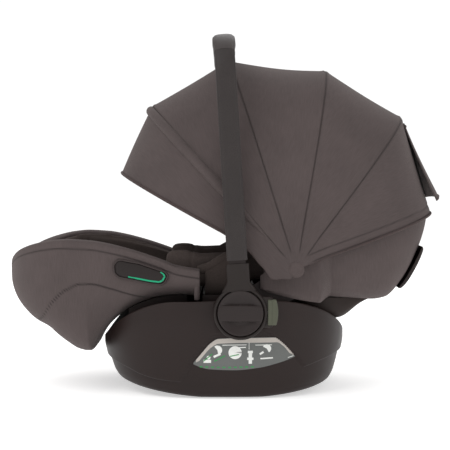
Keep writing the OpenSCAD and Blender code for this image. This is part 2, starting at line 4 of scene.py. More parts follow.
import bmesh
import bpy
import numpy as np
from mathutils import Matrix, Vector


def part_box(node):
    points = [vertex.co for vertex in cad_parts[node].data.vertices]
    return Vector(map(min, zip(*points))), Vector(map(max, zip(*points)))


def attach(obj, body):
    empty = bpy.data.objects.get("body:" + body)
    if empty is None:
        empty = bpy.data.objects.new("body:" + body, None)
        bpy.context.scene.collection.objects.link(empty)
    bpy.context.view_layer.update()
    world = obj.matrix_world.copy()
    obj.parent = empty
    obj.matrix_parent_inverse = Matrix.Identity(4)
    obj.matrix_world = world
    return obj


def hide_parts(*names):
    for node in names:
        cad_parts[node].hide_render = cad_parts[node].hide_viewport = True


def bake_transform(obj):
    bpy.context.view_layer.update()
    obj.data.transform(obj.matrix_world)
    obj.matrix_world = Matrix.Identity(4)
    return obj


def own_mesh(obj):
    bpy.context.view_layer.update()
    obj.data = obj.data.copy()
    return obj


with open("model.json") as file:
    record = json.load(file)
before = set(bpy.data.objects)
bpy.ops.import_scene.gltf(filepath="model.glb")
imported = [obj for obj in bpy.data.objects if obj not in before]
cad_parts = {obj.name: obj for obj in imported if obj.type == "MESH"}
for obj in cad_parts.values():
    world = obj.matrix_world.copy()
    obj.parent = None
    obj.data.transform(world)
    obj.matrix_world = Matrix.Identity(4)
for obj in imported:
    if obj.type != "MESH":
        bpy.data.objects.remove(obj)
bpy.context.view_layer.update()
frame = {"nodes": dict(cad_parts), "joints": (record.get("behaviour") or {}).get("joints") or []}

# ---- base shell ----
# The rocker base is one polypropylene moulding with a rolled rim, two upper side panels that
# stand 4 mm proud of the skirt, and a drum on each side that carries the handle.
# It is injection moulded with a fine spark-eroded grain, so it looks dark, even and satin.

MM = 0.001
joints = {j["name"]: j for j in frame["joints"]}
hub_x, _, hub_z = (v / MM for v in joints["handle_swing"]["pos_m"])


def node_box(name):
    """Lowest and highest corner of a CAD node, in millimetres."""
    return (np.array(corner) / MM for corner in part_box(name))


low, high = node_box("base_shell")
base_x = (low[0] + high[0]) / 2
base_half = (high[0] - low[0]) / 2
base_w = 380
rim_h = 158
arc_x = joints["leg_tilt"]["pos_m"][0] / MM
rim_r = rim_h - 3


def pchip(x, knots):
    """Smooth curve through (x, y) knots that never overshoots: cubic Hermite pieces whose
    slopes are the harmonic means of the slopes on either side."""
    xs, ys = np.asarray(knots, float).T
    h, rise = np.diff(xs), np.diff(ys) / np.diff(xs)
    slope = np.concatenate([rise[:1], np.zeros(len(xs) - 2), rise[-1:]])
    same = rise[:-1] * rise[1:] > 0
    slope[1:-1][same] = 2 * (rise[:-1] * rise[1:])[same] / (rise[:-1] + rise[1:])[same]
    x = np.clip(x, xs[0], xs[-1])
    i = np.clip(np.searchsorted(xs, x) - 1, 0, len(xs) - 2)
    t = (x - xs[i]) / h[i]
    return (ys[i] * (1 + 2 * t) * (1 - t) ** 2 + slope[i] * h[i] * t * (1 - t) ** 2
            + ys[i + 1] * t * t * (3 - 2 * t) + slope[i + 1] * h[i] * t * t * (t - 1))


def ease(t):
    """Smooth step from 0 to 1 as t goes from 0 to 1."""
    t = np.clip(t, 0, 1)
    return t * t * (3 - 2 * t)


def spow(v, n):
    """Power n of the size of v, with v's sign."""
    return np.sign(v) * np.abs(v) ** n


def bell(v, width):
    """Smooth bump of height 1 where v is 0, width wide on either side."""
    return np.exp(-(v / width) ** 2)


def unit(v):
    """Directions of vectors, each of length 1."""
    return v / np.linalg.norm(v, axis=-1, keepdims=True)


def cells(n, m, around=False, start=0):
    """Quads of a grid of n rows of m points; around joins the last column to the first."""
    i, j = np.meshgrid(np.arange(n - 1), np.arange(m if around else m - 1), indexing="ij")
    k = (j + 1) % m
    return start + np.stack([i * m + j, (i + 1) * m + j, (i + 1) * m + k, i * m + k], -1).reshape(-1, 4)


def strip(a, b):
    """Quads between two rows of point numbers."""
    return np.stack([a[:-1], a[1:], b[1:], b[:-1]], -1)


def placed(name, data):
    """Object that holds the data, in the scene."""
    obj = bpy.data.objects.new(name, data)
    bpy.context.scene.collection.objects.link(obj)
    return obj


def make(name, points, faces, uv=None, sharp=40, marks=None):
    """Mesh object through points in millimetres, welded, with its faces turned outwards and
    smooth shading up to an edge of sharp degrees. uv is one place in metres for each point,
    and marks its share of the painted shade that darkens a sewn seam's groove."""
    mesh = bpy.data.meshes.new(name)
    mesh.from_pydata((np.asarray(points, float) * MM).tolist(), [], [list(map(int, f)) for f in faces])
    if uv is not None:
        layer = mesh.uv_layers.new(name="cut")
        corner = np.zeros(len(mesh.loops), int)
        mesh.loops.foreach_get("vertex_index", corner)
        layer.data.foreach_set("uv", np.asarray(uv, np.float32)[corner].ravel())
    if marks is not None:
        # the seam attribute carries painted shade: the cloth materials darken sewn grooves by it
        seam = mesh.attributes.new("seam", "FLOAT", "POINT")
        seam.data.foreach_set("value", np.asarray(marks, np.float32).ravel())
    work = bmesh.new()
    work.from_mesh(mesh)
    bmesh.ops.remove_doubles(work, verts=work.verts, dist=2e-6)
    bmesh.ops.recalc_face_normals(work, faces=work.faces)
    work.to_mesh(mesh)
    work.free()
    mesh.polygons.foreach_set("use_smooth", [True] * len(mesh.polygons))
    mesh.set_sharp_from_angle(angle=math.radians(sharp))
    return placed(name, mesh)


def lengths(grid):
    """Place of each grid point on the flat cloth, in metres: the length along its column and
    along its row."""
    along = np.cumsum(np.linalg.norm(np.diff(grid, axis=0, prepend=grid[:1]), axis=2), 0)
    across = np.cumsum(np.linalg.norm(np.diff(grid, axis=1, prepend=grid[:, :1]), axis=2), 1)
    return np.stack([along, across], -1).reshape(-1, 2) * MM


def shell(name, outer, inner, around=False, sharp=40):
    """Closed wall between two grids of points in the same order: both faces, and a strip along
    each open edge."""
    n, m = outer.shape[:2]
    index = np.arange(n * m).reshape(n, m)
    faces = [cells(n, m, around), cells(n, m, around, n * m)[:, ::-1]]
    rings = [index[0], index[-1]]
    if around:
        rings = [np.append(r, r[0]) for r in rings]
    else:
        rings += [index[:, 0], index[:, -1]]
    faces += [strip(r, r + n * m) for r in rings]
    uv = np.tile(lengths(outer), (2, 1))
    points = np.concatenate([outer.reshape(-1, 3), inner.reshape(-1, 3)])
    return make(name, points, np.concatenate(faces), uv, sharp)


def lathe(name, profile, x, z, side=1, turns=96, start=0):
    """Solid turned about a line along Y at x, z: its profile is rings of (radius, y), and its
    ends close at a pole."""
    a = np.arange(turns) * 2 * np.pi / turns + start
    r, y = np.asarray(profile, float).T
    grid = np.stack([x + np.outer(r, np.cos(a)), side * np.outer(y, np.ones(turns)),
                     z + np.outer(r, np.sin(a))], -1)
    return make(name, grid.reshape(-1, 3), cells(len(r), turns, True), sharp=50)


def join(name, *objects):
    """One object from several, as one moulding."""
    work = bmesh.new()
    for o in objects:
        work.from_mesh(o.data)
        bpy.data.objects.remove(o)
    mesh = bpy.data.meshes.new(name)
    work.to_mesh(mesh)
    work.free()
    return placed(name, mesh)


def pair(name, build):
    """One object from the two copies that build makes, for the left side, -1, and the right."""
    return join(name, *[build(side) for side in (-1, 1)])


def tint(code):
    """Linear colour of an sRGB hex code."""
    c = np.array([int(code[i:i + 2], 16) for i in (1, 3, 5)]) / 255
    linear = np.where(c <= 0.04045, c / 12.92, ((c + 0.055) / 1.055) ** 2.4)
    return (*linear.tolist(), 1.0)


def put(tree, node, values):
    """Gives a node's inputs their values: each a number, a colour or a socket to link from."""
    for key, value in values.items():
        if isinstance(value, bpy.types.NodeSocket):
            tree.links.new(value, node.inputs[key])
        else:
            node.inputs[key].default_value = value
    return node


def add(tree, kind, values, **settings):
    """Adds a node with its settings and its inputs' values."""
    node = tree.nodes.new(kind)
    for key, value in settings.items():
        setattr(node, key, value)
    return put(tree, node, values)


def noise(tree, place, scale, detail, rough=0.5):
    """Random value that wanders over the place, scale cells to the metre."""
    return add(tree, "ShaderNodeTexNoise", {"Vector": place, "Scale": scale, "Detail": detail,
                                            "Roughness": rough}).outputs["Fac"]


def maths(tree, operation, *values):
    """Result of one operation on its values."""
    return add(tree, "ShaderNodeMath", dict(enumerate(values)), operation=operation).outputs[0]


def span(tree, value, low, high, first=0.0, last=1.0):
    """Carries the value from the range low to high onto first to last."""
    return add(tree, "ShaderNodeMapRange", {"Value": value, "From Min": low, "From Max": high,
                                            "To Min": first, "To Max": last}).outputs[0]


def between(tree, share, dark, light):
    """Colour a share of the way from dark to light."""
    return add(tree, "ShaderNodeMix", {"Factor": share, 6: dark, 7: light}, data_type="RGBA").outputs[2]


def relief(tree, height, depth, strength=1.0):
    """Surface direction over a relief depth millimetres deep."""
    return add(tree, "ShaderNodeBump", {"Height": height, "Distance": depth * MM,
                                        "Strength": strength}).outputs[0]


def shade(colour, share):
    """Colour darkened or lightened to a share of its light."""
    return tuple(min(1, c * share) for c in tint(colour)[:3]) + (1,)


def finish(name):
    """New material, with its tree and the socket that gives each point's place on its piece."""
    made = bpy.data.materials.new(name)
    made.use_nodes = True
    return made, made.node_tree, add(made.node_tree, "ShaderNodeTexCoord", {}).outputs["Object"]


def moulded(name, colour, rough=0.42, grain=0.9, depth=0.05, patch=0.14):
    """Injection-moulded plastic: a fine eroded grain, of grain millimetres and depth
    millimetres, breaks up the gloss, and slow patches of flow and handling vary the colour.
    The real grain is 0.1 mm, which is too fine to show, so it is drawn coarser."""
    made, tree, place = finish(name)
    fine = noise(tree, place, 1 / (grain * MM), 3.0)
    slow = noise(tree, place, 14.0, 4.0, 0.6)
    share = span(tree, maths(tree, "ADD", fine, slow), 0.7, 1.3)
    put(tree, tree.nodes["Principled BSDF"], {
        "Base Color": between(tree, share, shade(colour, 1 - patch), shade(colour, 1 + patch)),
        "Roughness": span(tree, slow, 0.3, 0.7, rough - 0.05, rough + 0.07),
        "Normal": relief(tree, fine, depth, 0.6),
        "IOR": 1.49,
        "Specular IOR Level": 0.24})
    return made


def dress(obj, made, body=None, slot=None, *nodes):
    """Gives a piece its material and its body, and hides the CAD nodes that it stands for. slot is not
    used.
    """
    obj.data.materials.clear()
    obj.data.materials.append(made)
    if body:
        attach(obj, body)
    if nodes:
        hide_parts(*nodes)
    return obj


def rocker(x):
    """Height of the underside: a shallow parabola, flat where it meets the floor."""
    return np.maximum(-1.5 + 0.00062 * (x - 11) ** 2, 0)


def rim(x):
    """Height of the rim: an arc round the leg section's track, a level stretch by the hubs,
    then a superelliptic fall to the tail."""
    front = np.sqrt(np.maximum(rim_r ** 2 - (x - arc_x) ** 2, 70 ** 2))
    level = rim_r + (rim_h - rim_r) * ease((x - arc_x) / (hub_x - arc_x))
    t = np.clip((x - hub_x) / (base_half + base_x - hub_x), 0, 1)
    tail = 90 + (rim_h - 90) * (1 - t ** 3.2) ** 0.625
    return np.where(x < arc_x, front, np.where(x < hub_x, level, tail))


# edges of the two side panels: their lower crease, and the slanting line beside the plate
crease = [(-210, 60), (-185, 53), (-161, 46), (-137, 37), (-110, 31), (-71, 28), (0, 26),
          (128, 50), (158, 58), (195, 66), (205, 67)]
plate_front = [(20, -76), (30, -71), (69, -48), (98, -22), (112, -4)]
plate_rear = [(20, 140), (50, 128), (67, 115), (94, 90), (112, 62)]
panel_proud = 4.2


def recess(x, z):
    """How far the skirt and the plate's field lie inside the side panels."""
    above = ease((z - pchip(x, crease)) / 2.4 + 0.5)
    front = ease((pchip(z, plate_front) - x) / 3 + 0.5)
    rear = ease((x - pchip(z, plate_rear)) / 3 + 0.5)
    return panel_proud * (1 - above * np.maximum(front, rear))


def base_rings(profile, turns=400, proud=True):
    """Rings of the base: share s of a superelliptic plan, a rise from the rocker to the rim
    and a lift, for each step of the profile."""
    a = np.arange(turns) * 2 * np.pi / turns
    s, rise, lift = (c[:, None] for c in np.asarray(profile, float).T)
    x = base_x + base_half * s * spow(np.cos(a), 0.714)
    y = base_w / 2 * s * spow(np.sin(a), 0.714)
    top = rim(base_x + base_half * spow(np.cos(a), 0.714))[None]
    z = rocker(x) + (top - rocker(x)) * rise + lift
    if proud:
        shrink = 1 - recess(x, z) / (base_w / 2) * ease(rise * 12)
        x, y = base_x + (x - base_x) * shrink, y * shrink
    return np.stack([x, y, z], -1)


wall = 4 / base_half            # the wall's thickness as a share of the plan
steps = np.linspace(0, 1, 150)
flank = np.stack([pchip(steps, [(0, 0.74), (0.07, 0.86), (0.15, 0.925), (0.32, 0.957), (0.6, 0.984),
                                (0.85, 1), (1, 1)]),
                  pchip(steps, [(0, 0), (0.07, 0.012), (0.15, 0.08), (0.32, 0.28), (0.6, 0.58),
                                (0.85, 0.86), (1, 1)]),
                  np.zeros(150)], -1)
lip = [(1 - 0.15 * wall, 1, 1.1), (1 - 0.55 * wall, 1, 1.7), (1 - 1.0 * wall, 1, 1.4),
       (1 - 1.35 * wall, 1, 0.2)]
lining = [(0.98 - 1.6 * wall, 0.6, 0), (0.94 - 1.6 * wall, 0.3, 3), (0.86 - wall, 0.06, 6),
          (0.76, 0, 5), (0.4, 0, 5), (0.001, 0, 5)]
outside = base_rings([(0.001, 0, 0), (0.3, 0, 0), (0.6, 0, 0)] + flank.tolist(), proud=True)
inside = base_rings(lip + lining, proud=False)
rings = np.concatenate([outside, inside])
body = make("base_moulding", rings.reshape(-1, 3), cells(len(rings), rings.shape[1], True), sharp=60)
drum = [(0.01, 169.5), (30, 169.5), (36.5, 169.5), (38, 171), (38, 198), (37.2, 200.6), (35, 201.9),
        (0.01, 202)]
drums = [lathe("drum", drum, hub_x, hub_z, side) for side in (-1, 1)]
base = join("base_moulding", body, *drums)
shell_plastic = moulded("moulded_polypropylene", "#241a18", rough=0.46)
dress(base, shell_plastic, "base", "shell_plastic", "base_shell")
for polygon in base.data.polygons:
    polygon.use_smooth = True
base.data.set_sharp_from_angle(angle=math.radians(48))

# ---- rating plates ----
# Each side carries a printed polycarbonate plate set into the field below the hub: a light
# band along its top, a mid-grey field with plain belt-route pictures and a dashed green line.

label_low = [(-50, 57), (-38, 52), (-24, 49), (15, 47.5), (52, 51), (91, 60), (113, 68)]
label_top = [(-50, 59.5), (-38, 74), (-22, 92), (-10, 98.5), (40, 100), (82, 100), (92, 94), (104, 80),
             (113, 69.5)]


def wall_y(x, z):
    """Half width of the base's recessed field at x along the seat and height z."""
    rise = (z - rocker(x)) / (rim(x) - rocker(x))
    s = pchip(rise, [(0.28, 0.957), (0.6, 0.984), (0.86, 1)])
    plan = np.maximum(0, 1 - np.abs((x - base_x) / (base_half * s)) ** 2.8) ** (1 / 2.8)
    return base_w / 2 * s * plan - panel_proud + 0.2


def decal(name, x, z, lift, side, thick=0.5):
    """Thin printed patch on the plate: a grid of x and z places laid on the wall, lift
    millimetres off it."""
    y = wall_y(x, z) + lift
    outer = np.stack([x, side * y, z], -1)
    inner = np.stack([x, side * (y - thick), z], -1)
    return shell(name, outer, inner)


def ring_patch(cx, cz, radius, a0=0, a1=360):
    """Places of a disc or a sector of it about cx, cz."""
    a = np.radians(np.linspace(a0, a1, 28))[:, None]
    r = np.array([0.2, radius])[None]
    return cx + r * np.cos(a), cz + r * np.sin(a)


def bar_patch(x0, z0, x1, z1, w, n=10):
    """Places of a straight bar of width w from one point to another."""
    t = np.linspace(0, 1, n)[:, None]
    v = np.array([-(z1 - z0), x1 - x0]) / math.hypot(x1 - x0, z1 - z0) * w / 2
    k = np.array([-1, 1])[None]
    return x0 + (x1 - x0) * t + k * v[0], z0 + (z1 - z0) * t + k * v[1]


plate_grey = moulded("printed_polycarbonate", "#666866", rough=0.3, grain=1.6, depth=0.01, patch=0.05)
plate_light = moulded("printed_light_band", "#b5aea7", rough=0.32, grain=1.6, depth=0.01, patch=0.04)
plate_white = moulded("printed_white", "#e4e5e1", rough=0.4, grain=1.2, depth=0.01, patch=0.04)
plate_green = moulded("printed_green", "#3f8f52", rough=0.4, grain=1.2, depth=0.01, patch=0.06)
for side, hand in ((-1, "left"), (1, "right")):
    x = np.linspace(-50, 113, 90)[:, None]
    t = np.linspace(0, 1, 24)[None]
    z = pchip(x, label_low) + (pchip(x, label_top) - pchip(x, label_low)) * t
    plate = decal("rating_plate_" + hand, np.broadcast_to(x, z.shape), z, 1.0, side, 1.6)
    dress(plate, plate_grey, "base", "plate_grey", *(["label_plates"] if side > 0 else []))
    x = np.linspace(-46, 109, 120)[:, None]
    edge = pchip(x, label_top)
    z = edge - 0.6 - np.array([0, 1])[None] * np.clip(0.42 * (edge - pchip(x, label_low)), 0.8, 7.5)
    band = decal("rating_band_" + hand, np.broadcast_to(x, z.shape), z, 1.25, side)
    dress(band, plate_light, "base", "plate_grey")
    white = [ring_patch(-26, 68, 3), ring_patch(16, 76, 10.5), ring_patch(-12, 80, 7.5, -80, 130),
             ring_patch(66, 82, 7, -60, 150),
             bar_patch(-34, 62, -22, 62, 5), bar_patch(-18, 69, -7, 74, 3.4),
             bar_patch(40, 58, 40, 78, 5.4), bar_patch(35, 66, 45, 66, 4), bar_patch(36, 77, 44, 77, 4),
             bar_patch(56, 66, 76, 67, 2.2), bar_patch(55, 73, 61, 77, 3.2),
             bar_patch(38, 81, 38, 92, 0.8), bar_patch(-4, 88, 34, 88.5, 1.1),
             bar_patch(48, 88, 74, 88, 1.1), bar_patch(22, 84, 33, 84.5, 1.6),
             bar_patch(100, 66.5, 109, 69, 0.9)]
    green = [bar_patch(-34, 62, -20, 74, 1.6), bar_patch(-17, 62, 0, 71, 1.7),
             bar_patch(8, 70, 22, 73, 1.5)]
    for v in range(-40, 46, 9):
        green.append(bar_patch(v, 52 + abs(v) / 40, v + 4.6, 52 + abs(v) / 40, 2.0, 3))
    for name, shapes, made, lift in (("plate_pictures_", white, plate_white, 1.35),
                                     ("plate_route_", green, plate_green, 1.47)):
        marks = join(name + hand, *[decal("mark", *p, lift, side) for p in shapes])
        dress(marks, made, "base", "plate_grey")

# ---- carry handle ----
# A steel-cored handle over the seat: padded leatherette arms with a seam rolled in near each
# edge, a slightly fuller grip, and a moulded sleeve that flares into each hub.

lean = math.radians(3.5)
grip_top = 439
arm_out = 216


def on_handle(points):
    """Places a front view (along the seat, across, up from the hub) at the handle's lean."""
    x, y, z = np.moveaxis(points, -1, 0)
    return np.stack([hub_x + x * math.cos(lean) - z * math.sin(lean), y,
                     hub_z + x * math.sin(lean) + z * math.cos(lean)], -1)


def loop_line(half, corner, top, foot, n=24):
    """Inverted U: up a side, round a quarter circle and across to the middle, then mirrored."""
    up = np.stack([np.full(n, half), np.linspace(foot, top - corner, n)], -1)
    a = np.linspace(0, np.pi / 2, n)
    turn = np.stack([half - corner + corner * np.cos(a), top - corner + corner * np.sin(a)], -1)[1:]
    over = np.stack([np.linspace(half - corner, 0, 10), np.full(10, top)], -1)[1:]
    right = np.concatenate([up, turn, over])
    return np.concatenate([right, (right * [-1, 1])[::-1][1:]])


def handle_part(name, width, grow, foot, keep, seam_at=0.0, around=56, plump=3.4):
    """Rounded bar round the handle's line, width along the seat at each step: its section is
    a superellipse, with a groove seam_at of the way out from its middle."""
    out = loop_line(arm_out, 76, grip_top, foot)
    inner = loop_line(arm_out - 12, 64, grip_top - 20, foot)
    out, inner = out[keep(out)], inner[keep(out)]
    middle, thick = (out + inner) / 2, (out - inner) / 2
    a = np.arange(around) * 2 * np.pi / around
    across = spow(np.cos(a), 2 / plump)[None, :, None] * thick[:, None]
    across *= 1 + grow / np.maximum(np.linalg.norm(thick, axis=1), 1)[:, None, None]
    half = width(middle[:, 1])[:, None] / 2
    along = spow(np.sin(a), 2 / plump)[None] * half
    if seam_at:
        across *= 1 - 0.1 * bell(np.abs(along) / half - seam_at, 0.035)[..., None]
    grid = np.concatenate([along[..., None], middle[:, None] + across], -1)
    # each end draws in over its last step to a closed face
    first, last = ([grid[e].mean(0) + (grid[e] - grid[e].mean(0)) * s for s in (0.02, 0.9, 0.98)]
                   for e in (0, -1))
    grid = on_handle(np.concatenate([np.stack(first), grid, np.stack(last[::-1])]))
    return make(name, grid.reshape(-1, 3), cells(len(grid), around, True), sharp=50)


def hide(name, colour):
    """Leatherette: a vinyl skin embossed with small cells, softly shiny on their crowns, with the
    grooves between the cells coloured darker than the crowns as painted shade. The real cells
    are 0.6 mm across, and are drawn at 1.4 mm so that they show."""
    made, tree, place = finish(name)
    cell = add(tree, "ShaderNodeTexVoronoi", {"Vector": place, "Scale": 1 / (1.4 * MM)},
               feature="DISTANCE_TO_EDGE")
    crown = span(tree, cell.outputs["Distance"], 0, 0.25)
    # painted shade: the colour darkens towards the cells' grooves
    share = maths(tree, "MULTIPLY", noise(tree, place, 22.0, 5.0), crown)
    put(tree, tree.nodes["Principled BSDF"], {
        "Base Color": between(tree, share, shade(colour, 0.74), shade(colour, 1.28)),
        "Roughness": span(tree, crown, 0, 1, 0.65, 0.48),
        "Normal": relief(tree, crown, 0.12, 0.5),
        "Sheen Weight": 0.06,
        "Specular IOR Level": 0.32})
    return made


leatherette = hide("leatherette_wrap", "#302a29")
# the grip's leatherette is a lighter copy of the arms' leatherette: painted highlight where light falls
# on the handle's top
grip_hide_painted_highlight = hide("leatherette_grip_painted_highlight", "#3d3635")
hub_plastic = moulded("moulded_nylon", "#241e1c", rough=0.42, grain=1.0)
grip_from, sleeve_top = 411, 82.3
arm_wrap = pair("arm_wraps", lambda s: handle_part(
    "arm", lambda z: np.full(z.shape, 32.0), 0, sleeve_top,
    lambda p: (p[:, 1] < grip_from) & (s * p[:, 0] > 0), 0.86))
dress(arm_wrap, leatherette, "handle", "handle_leather", "arm_covers")
grip = handle_part("grip_wrap", lambda z: 33.0 + 3.4 * ease((z - grip_from) / 8), 0.5,
                   sleeve_top, lambda p: p[:, 1] > grip_from - 1, 0.84, plump=3.0)
dress(grip, grip_hide_painted_highlight, "handle", "handle_leather", "grip_cover")
sleeve = pair("arm_sleeve_mouldings", lambda s: handle_part(
    "sleeve", lambda z: 35.5 + 26 * ease((50 - z) / 22) ** 1.6, 0.35, 34,
    lambda p: (p[:, 1] < sleeve_top - 0.3) & (s * p[:, 0] > 0), plump=4.4))
dress(sleeve, hub_plastic, "handle", "hub_plastic", "arm_sleeves")

# ---- hubs ----
# A moulded ring turns on each hub pin. A snap-in disc fills it, with a plain raised bar across
# the middle and a scooped recess above and below, and a soft grey-green button stands behind it.

hub_in, hub_face, hub_y = 203, 216, 220
ring_profile = [(0.01, hub_in), (39, hub_in), (41.2, hub_in + 0.8), (42, hub_in + 3), (42, hub_face - 4),
                (41.6, hub_face - 1.6), (40.4, hub_face - 0.4), (39, hub_face), (37.6, hub_face - 0.5),
                (36.6, hub_face - 1.8), (36.1, hub_face - 3.6), (36, hub_face - 6), (0.01, hub_face - 6)]
hub_rings = [lathe("hub_ring", ring_profile, hub_x, hub_z, s, 160) for s in (-1, 1)]


def inset_outline(outline, d):
    """Outline moved in by d millimetres along its normals."""
    p = np.asarray(outline, float)
    along = np.roll(p, -1, 0) - np.roll(p, 1, 0)
    area = np.sum(p[:, 0] * np.roll(p[:, 1], -1) - np.roll(p[:, 0], -1) * p[:, 1])
    return p - unit(np.stack([along[:, 1], -along[:, 0]], -1)) * np.sign(area) * d


def drawn_in(outline, share):
    """Outline drawn in to a share of its size about its own middle."""
    middle = outline.mean(0)
    return middle + (outline - middle) * share


def layers(name, rows, side, sharp):
    """Closed form through outlines of the side view, each at its own distance out."""
    grid = np.stack([np.stack([p[:, 0], np.full(len(p), side * y), p[:, 1]], -1) for p, y in rows])
    return make(name, grid.reshape(-1, 3), cells(len(rows), grid.shape[1], True), sharp=sharp)


def rounded_pad(name, outline, y0, y1, side, edge=1.6, dome=0.0):
    """Pad with a rounded rim: rings of its outline drawn in as they rise from y0 to y1, and a
    face that crowns by dome."""
    p = np.asarray(outline, float)
    middle, crown = p.mean(0), inset_outline(p, edge)
    rows = [(drawn_in(p, 0.02), y0), (p, y0)]
    for t in np.linspace(0, np.pi / 2, 6):
        rows.append((inset_outline(p, edge * (1 - math.cos(t))), y1 - edge + edge * math.sin(t)))
    for s in (0.9, 0.75, 0.55, 0.3, 0.02):
        rows.append((middle + (crown - middle) * s, y1 + dome * (1 - s * s)))
    return layers(name, rows, side, 55)


def rounded_outline(corners, radius, n=8):
    """Closed outline through corners, each turned by an arc that meets both sides."""
    p = np.asarray(corners, float)
    out = []
    for k in range(len(p)):
        a, b, c = p[k - 1], p[k], p[(k + 1) % len(p)]
        u, v = unit(a - b), unit(c - b)
        cut = min(radius / math.tan(math.acos(np.clip(u @ v, -1, 1)) / 2),
                  0.48 * np.linalg.norm(a - b), 0.48 * np.linalg.norm(c - b))
        t = np.linspace(0, 1, n)[:, None]
        out.append((1 - t) ** 2 * (b + u * cut) + 2 * t * (1 - t) * b + t * t * (b + v * cut))
    return np.concatenate(out)


button_z0, button_z1, button_x1 = 123, 163, 83
tail_box = rounded_outline([(hub_x + 20, button_z0 - 4), (button_x1 - 8, button_z0 - 4),
                            (button_x1 - 8, button_z1 + 4), (hub_x + 20, button_z1 + 4)], 6)
lobes = [rounded_pad("lobe", tail_box, hub_in, hub_face - 5, s, 2.2) for s in (-1, 1)]
hub_rings = join("hub_rings", *hub_rings, *lobes)
dress(hub_rings, hub_plastic, "handle", "hub_plastic", "hub_housings")

r = np.concatenate([[0.01], np.linspace(1, 34.6, 56)])
a = np.arange(192) * 2 * np.pi / 192
dx, dz = np.outer(r, np.cos(a)), np.outer(r, np.sin(a))
bar_edge = 12.6 - 0.0012 * dx ** 2
outside_bar = ease((np.abs(dz) - bar_edge) / 1.2)
scoop = 1.4 + 4.2 * ease((34.6 - np.hypot(dx, dz)) / 17)
groove = 0.5 * bell(np.abs(dz) - bar_edge + 0.4, 0.5)
face = hub_y - 0.6 - scoop * outside_bar - groove
discs = []
for side in (-1, 1):
    front = np.stack([hub_x + dx, side * face, hub_z + dz], -1)
    # the rim starts where the face ends, so the bar's ends meet it
    rim_rows = [np.stack([hub_x + q * np.cos(a), side * y * np.ones(192), hub_z + q * np.sin(a)], -1)
                for q, y in ((35.1, face[-1] - 0.4), (35.5, face[-1] - 1.4), (35.5, hub_face - 5.4),
                             (0.01, hub_face - 5.4))]
    grid = np.concatenate([front, np.array(rim_rows)])
    discs.append(make("disc", grid.reshape(-1, 3), cells(len(grid), 192, True), sharp=40))
hub_discs = join("hub_disc_caps", *discs)
disc_plastic = moulded("moulded_nylon_disc", "#292221", rough=0.38, grain=1.2)
dress(hub_discs, disc_plastic, "handle", "hub_plastic", "hub_discs")
button_soft = moulded("soft_touch_green", "#4f5144", rough=0.55, grain=1.0, patch=0.08)
for side, hand in ((-1, "left"), (1, "right")):
    t = np.linspace(0, 1, 14)
    right_edge = np.stack([button_x1 - 5 + 4.8 * np.sin(np.pi * (0.12 + 0.76 * t)),
                           button_z0 + (button_z1 - button_z0) * t], -1)
    outline = np.concatenate([[(66.5, button_z0)], right_edge, [(66.5, button_z1)]])
    pad = rounded_pad("pad", rounded_outline(outline, 2.0, 4), 205.5, 213.6, side, 1.8, 0.6)
    ridge_line = rounded_outline([(66.6, button_z0 + 1), (73.2, button_z0 + 1), (73.2, button_z1 - 1),
                                  (66.6, button_z1 - 1)], 1.5)
    ridge = rounded_pad("ridge", ridge_line, 206, 214.9, side, 1.2, 0.1)
    button = join("release_pad_" + hand, pad, ridge)
    dress(button, button_soft, "handle_button_" + hand, "button_green", "release_button_" + hand)

# ---- leg section ----
# The padded foot end rides in the base on two curved runners. A knitted cover is pulled over
# its plastic tub, sewn along the flank, and rolled and bound over the top edge.

leg_w = 344
leg_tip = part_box("leg_cover")[0][0] / MM
leg_end = -40
leg_tops = [(-364, 200), (-352, 222), (-335, 235), (-310, 244), (-280, 250), (-254, 252),
            (-215, 250), (-190, 246), (-150, 236), (-107, 222), (-75, 210), (-40, 204)]
leg_lows = [(-364, 185), (-356, 165), (-345, 146), (-330, 129), (-312, 114), (-289, 102),
            (-273, 88), (-257, 76), (-241, 66), (-230, 63)]
leg_floors = [(-364, 203), (-342, 197), (-322, 185), (-298, 176), (-260, 168), (-218, 163),
              (-175, 163), (-140, 166), (-95, 169), (-40, 169)]
track_r = 159
bed_in = 26                     # foam between the cover and the bed inside it
flank_seam = [(-330, 112), (-299, 124), (-277, 152), (-261, 168), (-245, 178), (-230, 183.4),
              (-214, 183.4), (-182, 176), (-143, 163.6), (-103, 155), (-60, 151)]


def arch(t, n):
    """Superellipse of power n: the height at share t of its half width."""
    return np.maximum(0, 1 - np.abs(t) ** n) ** (1 / n)


def toe(x):
    """Share of an inset that also moves a section in from the foot end."""
    return np.maximum(0, (-230 - x) / (-230 - leg_tip))


def leg_half(x):
    """Half width of the leg section: constant, then a superelliptic nose."""
    return leg_w / 2 * np.where(x < -230, arch((x + 230) / (leg_tip + 230), 2.3), 1)


def leg_low(x):
    """Underside of the leg section, which follows the track's arc over the base."""
    d = track_r ** 2 - (x - arc_x) ** 2
    return np.maximum(pchip(x, leg_lows), np.sqrt(np.maximum(d, 0)))


def cup(x, half, top, low, n=61):
    """U-shaped sections, a superellipse of power 4 swept by n points from the left edge,
    under, to the right edge."""
    half, top, low = (np.broadcast_to(v, x.shape)[:, None] for v in (half, top, low))
    turn = np.linspace(-np.pi / 2, np.pi / 2, n)[None]
    r = 1 / (np.sin(turn) ** 4 + np.cos(turn) ** 4) ** 0.25
    y, z = half * (np.sin(turn) * r), top - (top - low) * (np.cos(turn) * r)
    return np.stack([np.broadcast_to(x[:, None], y.shape), y, z], -1)


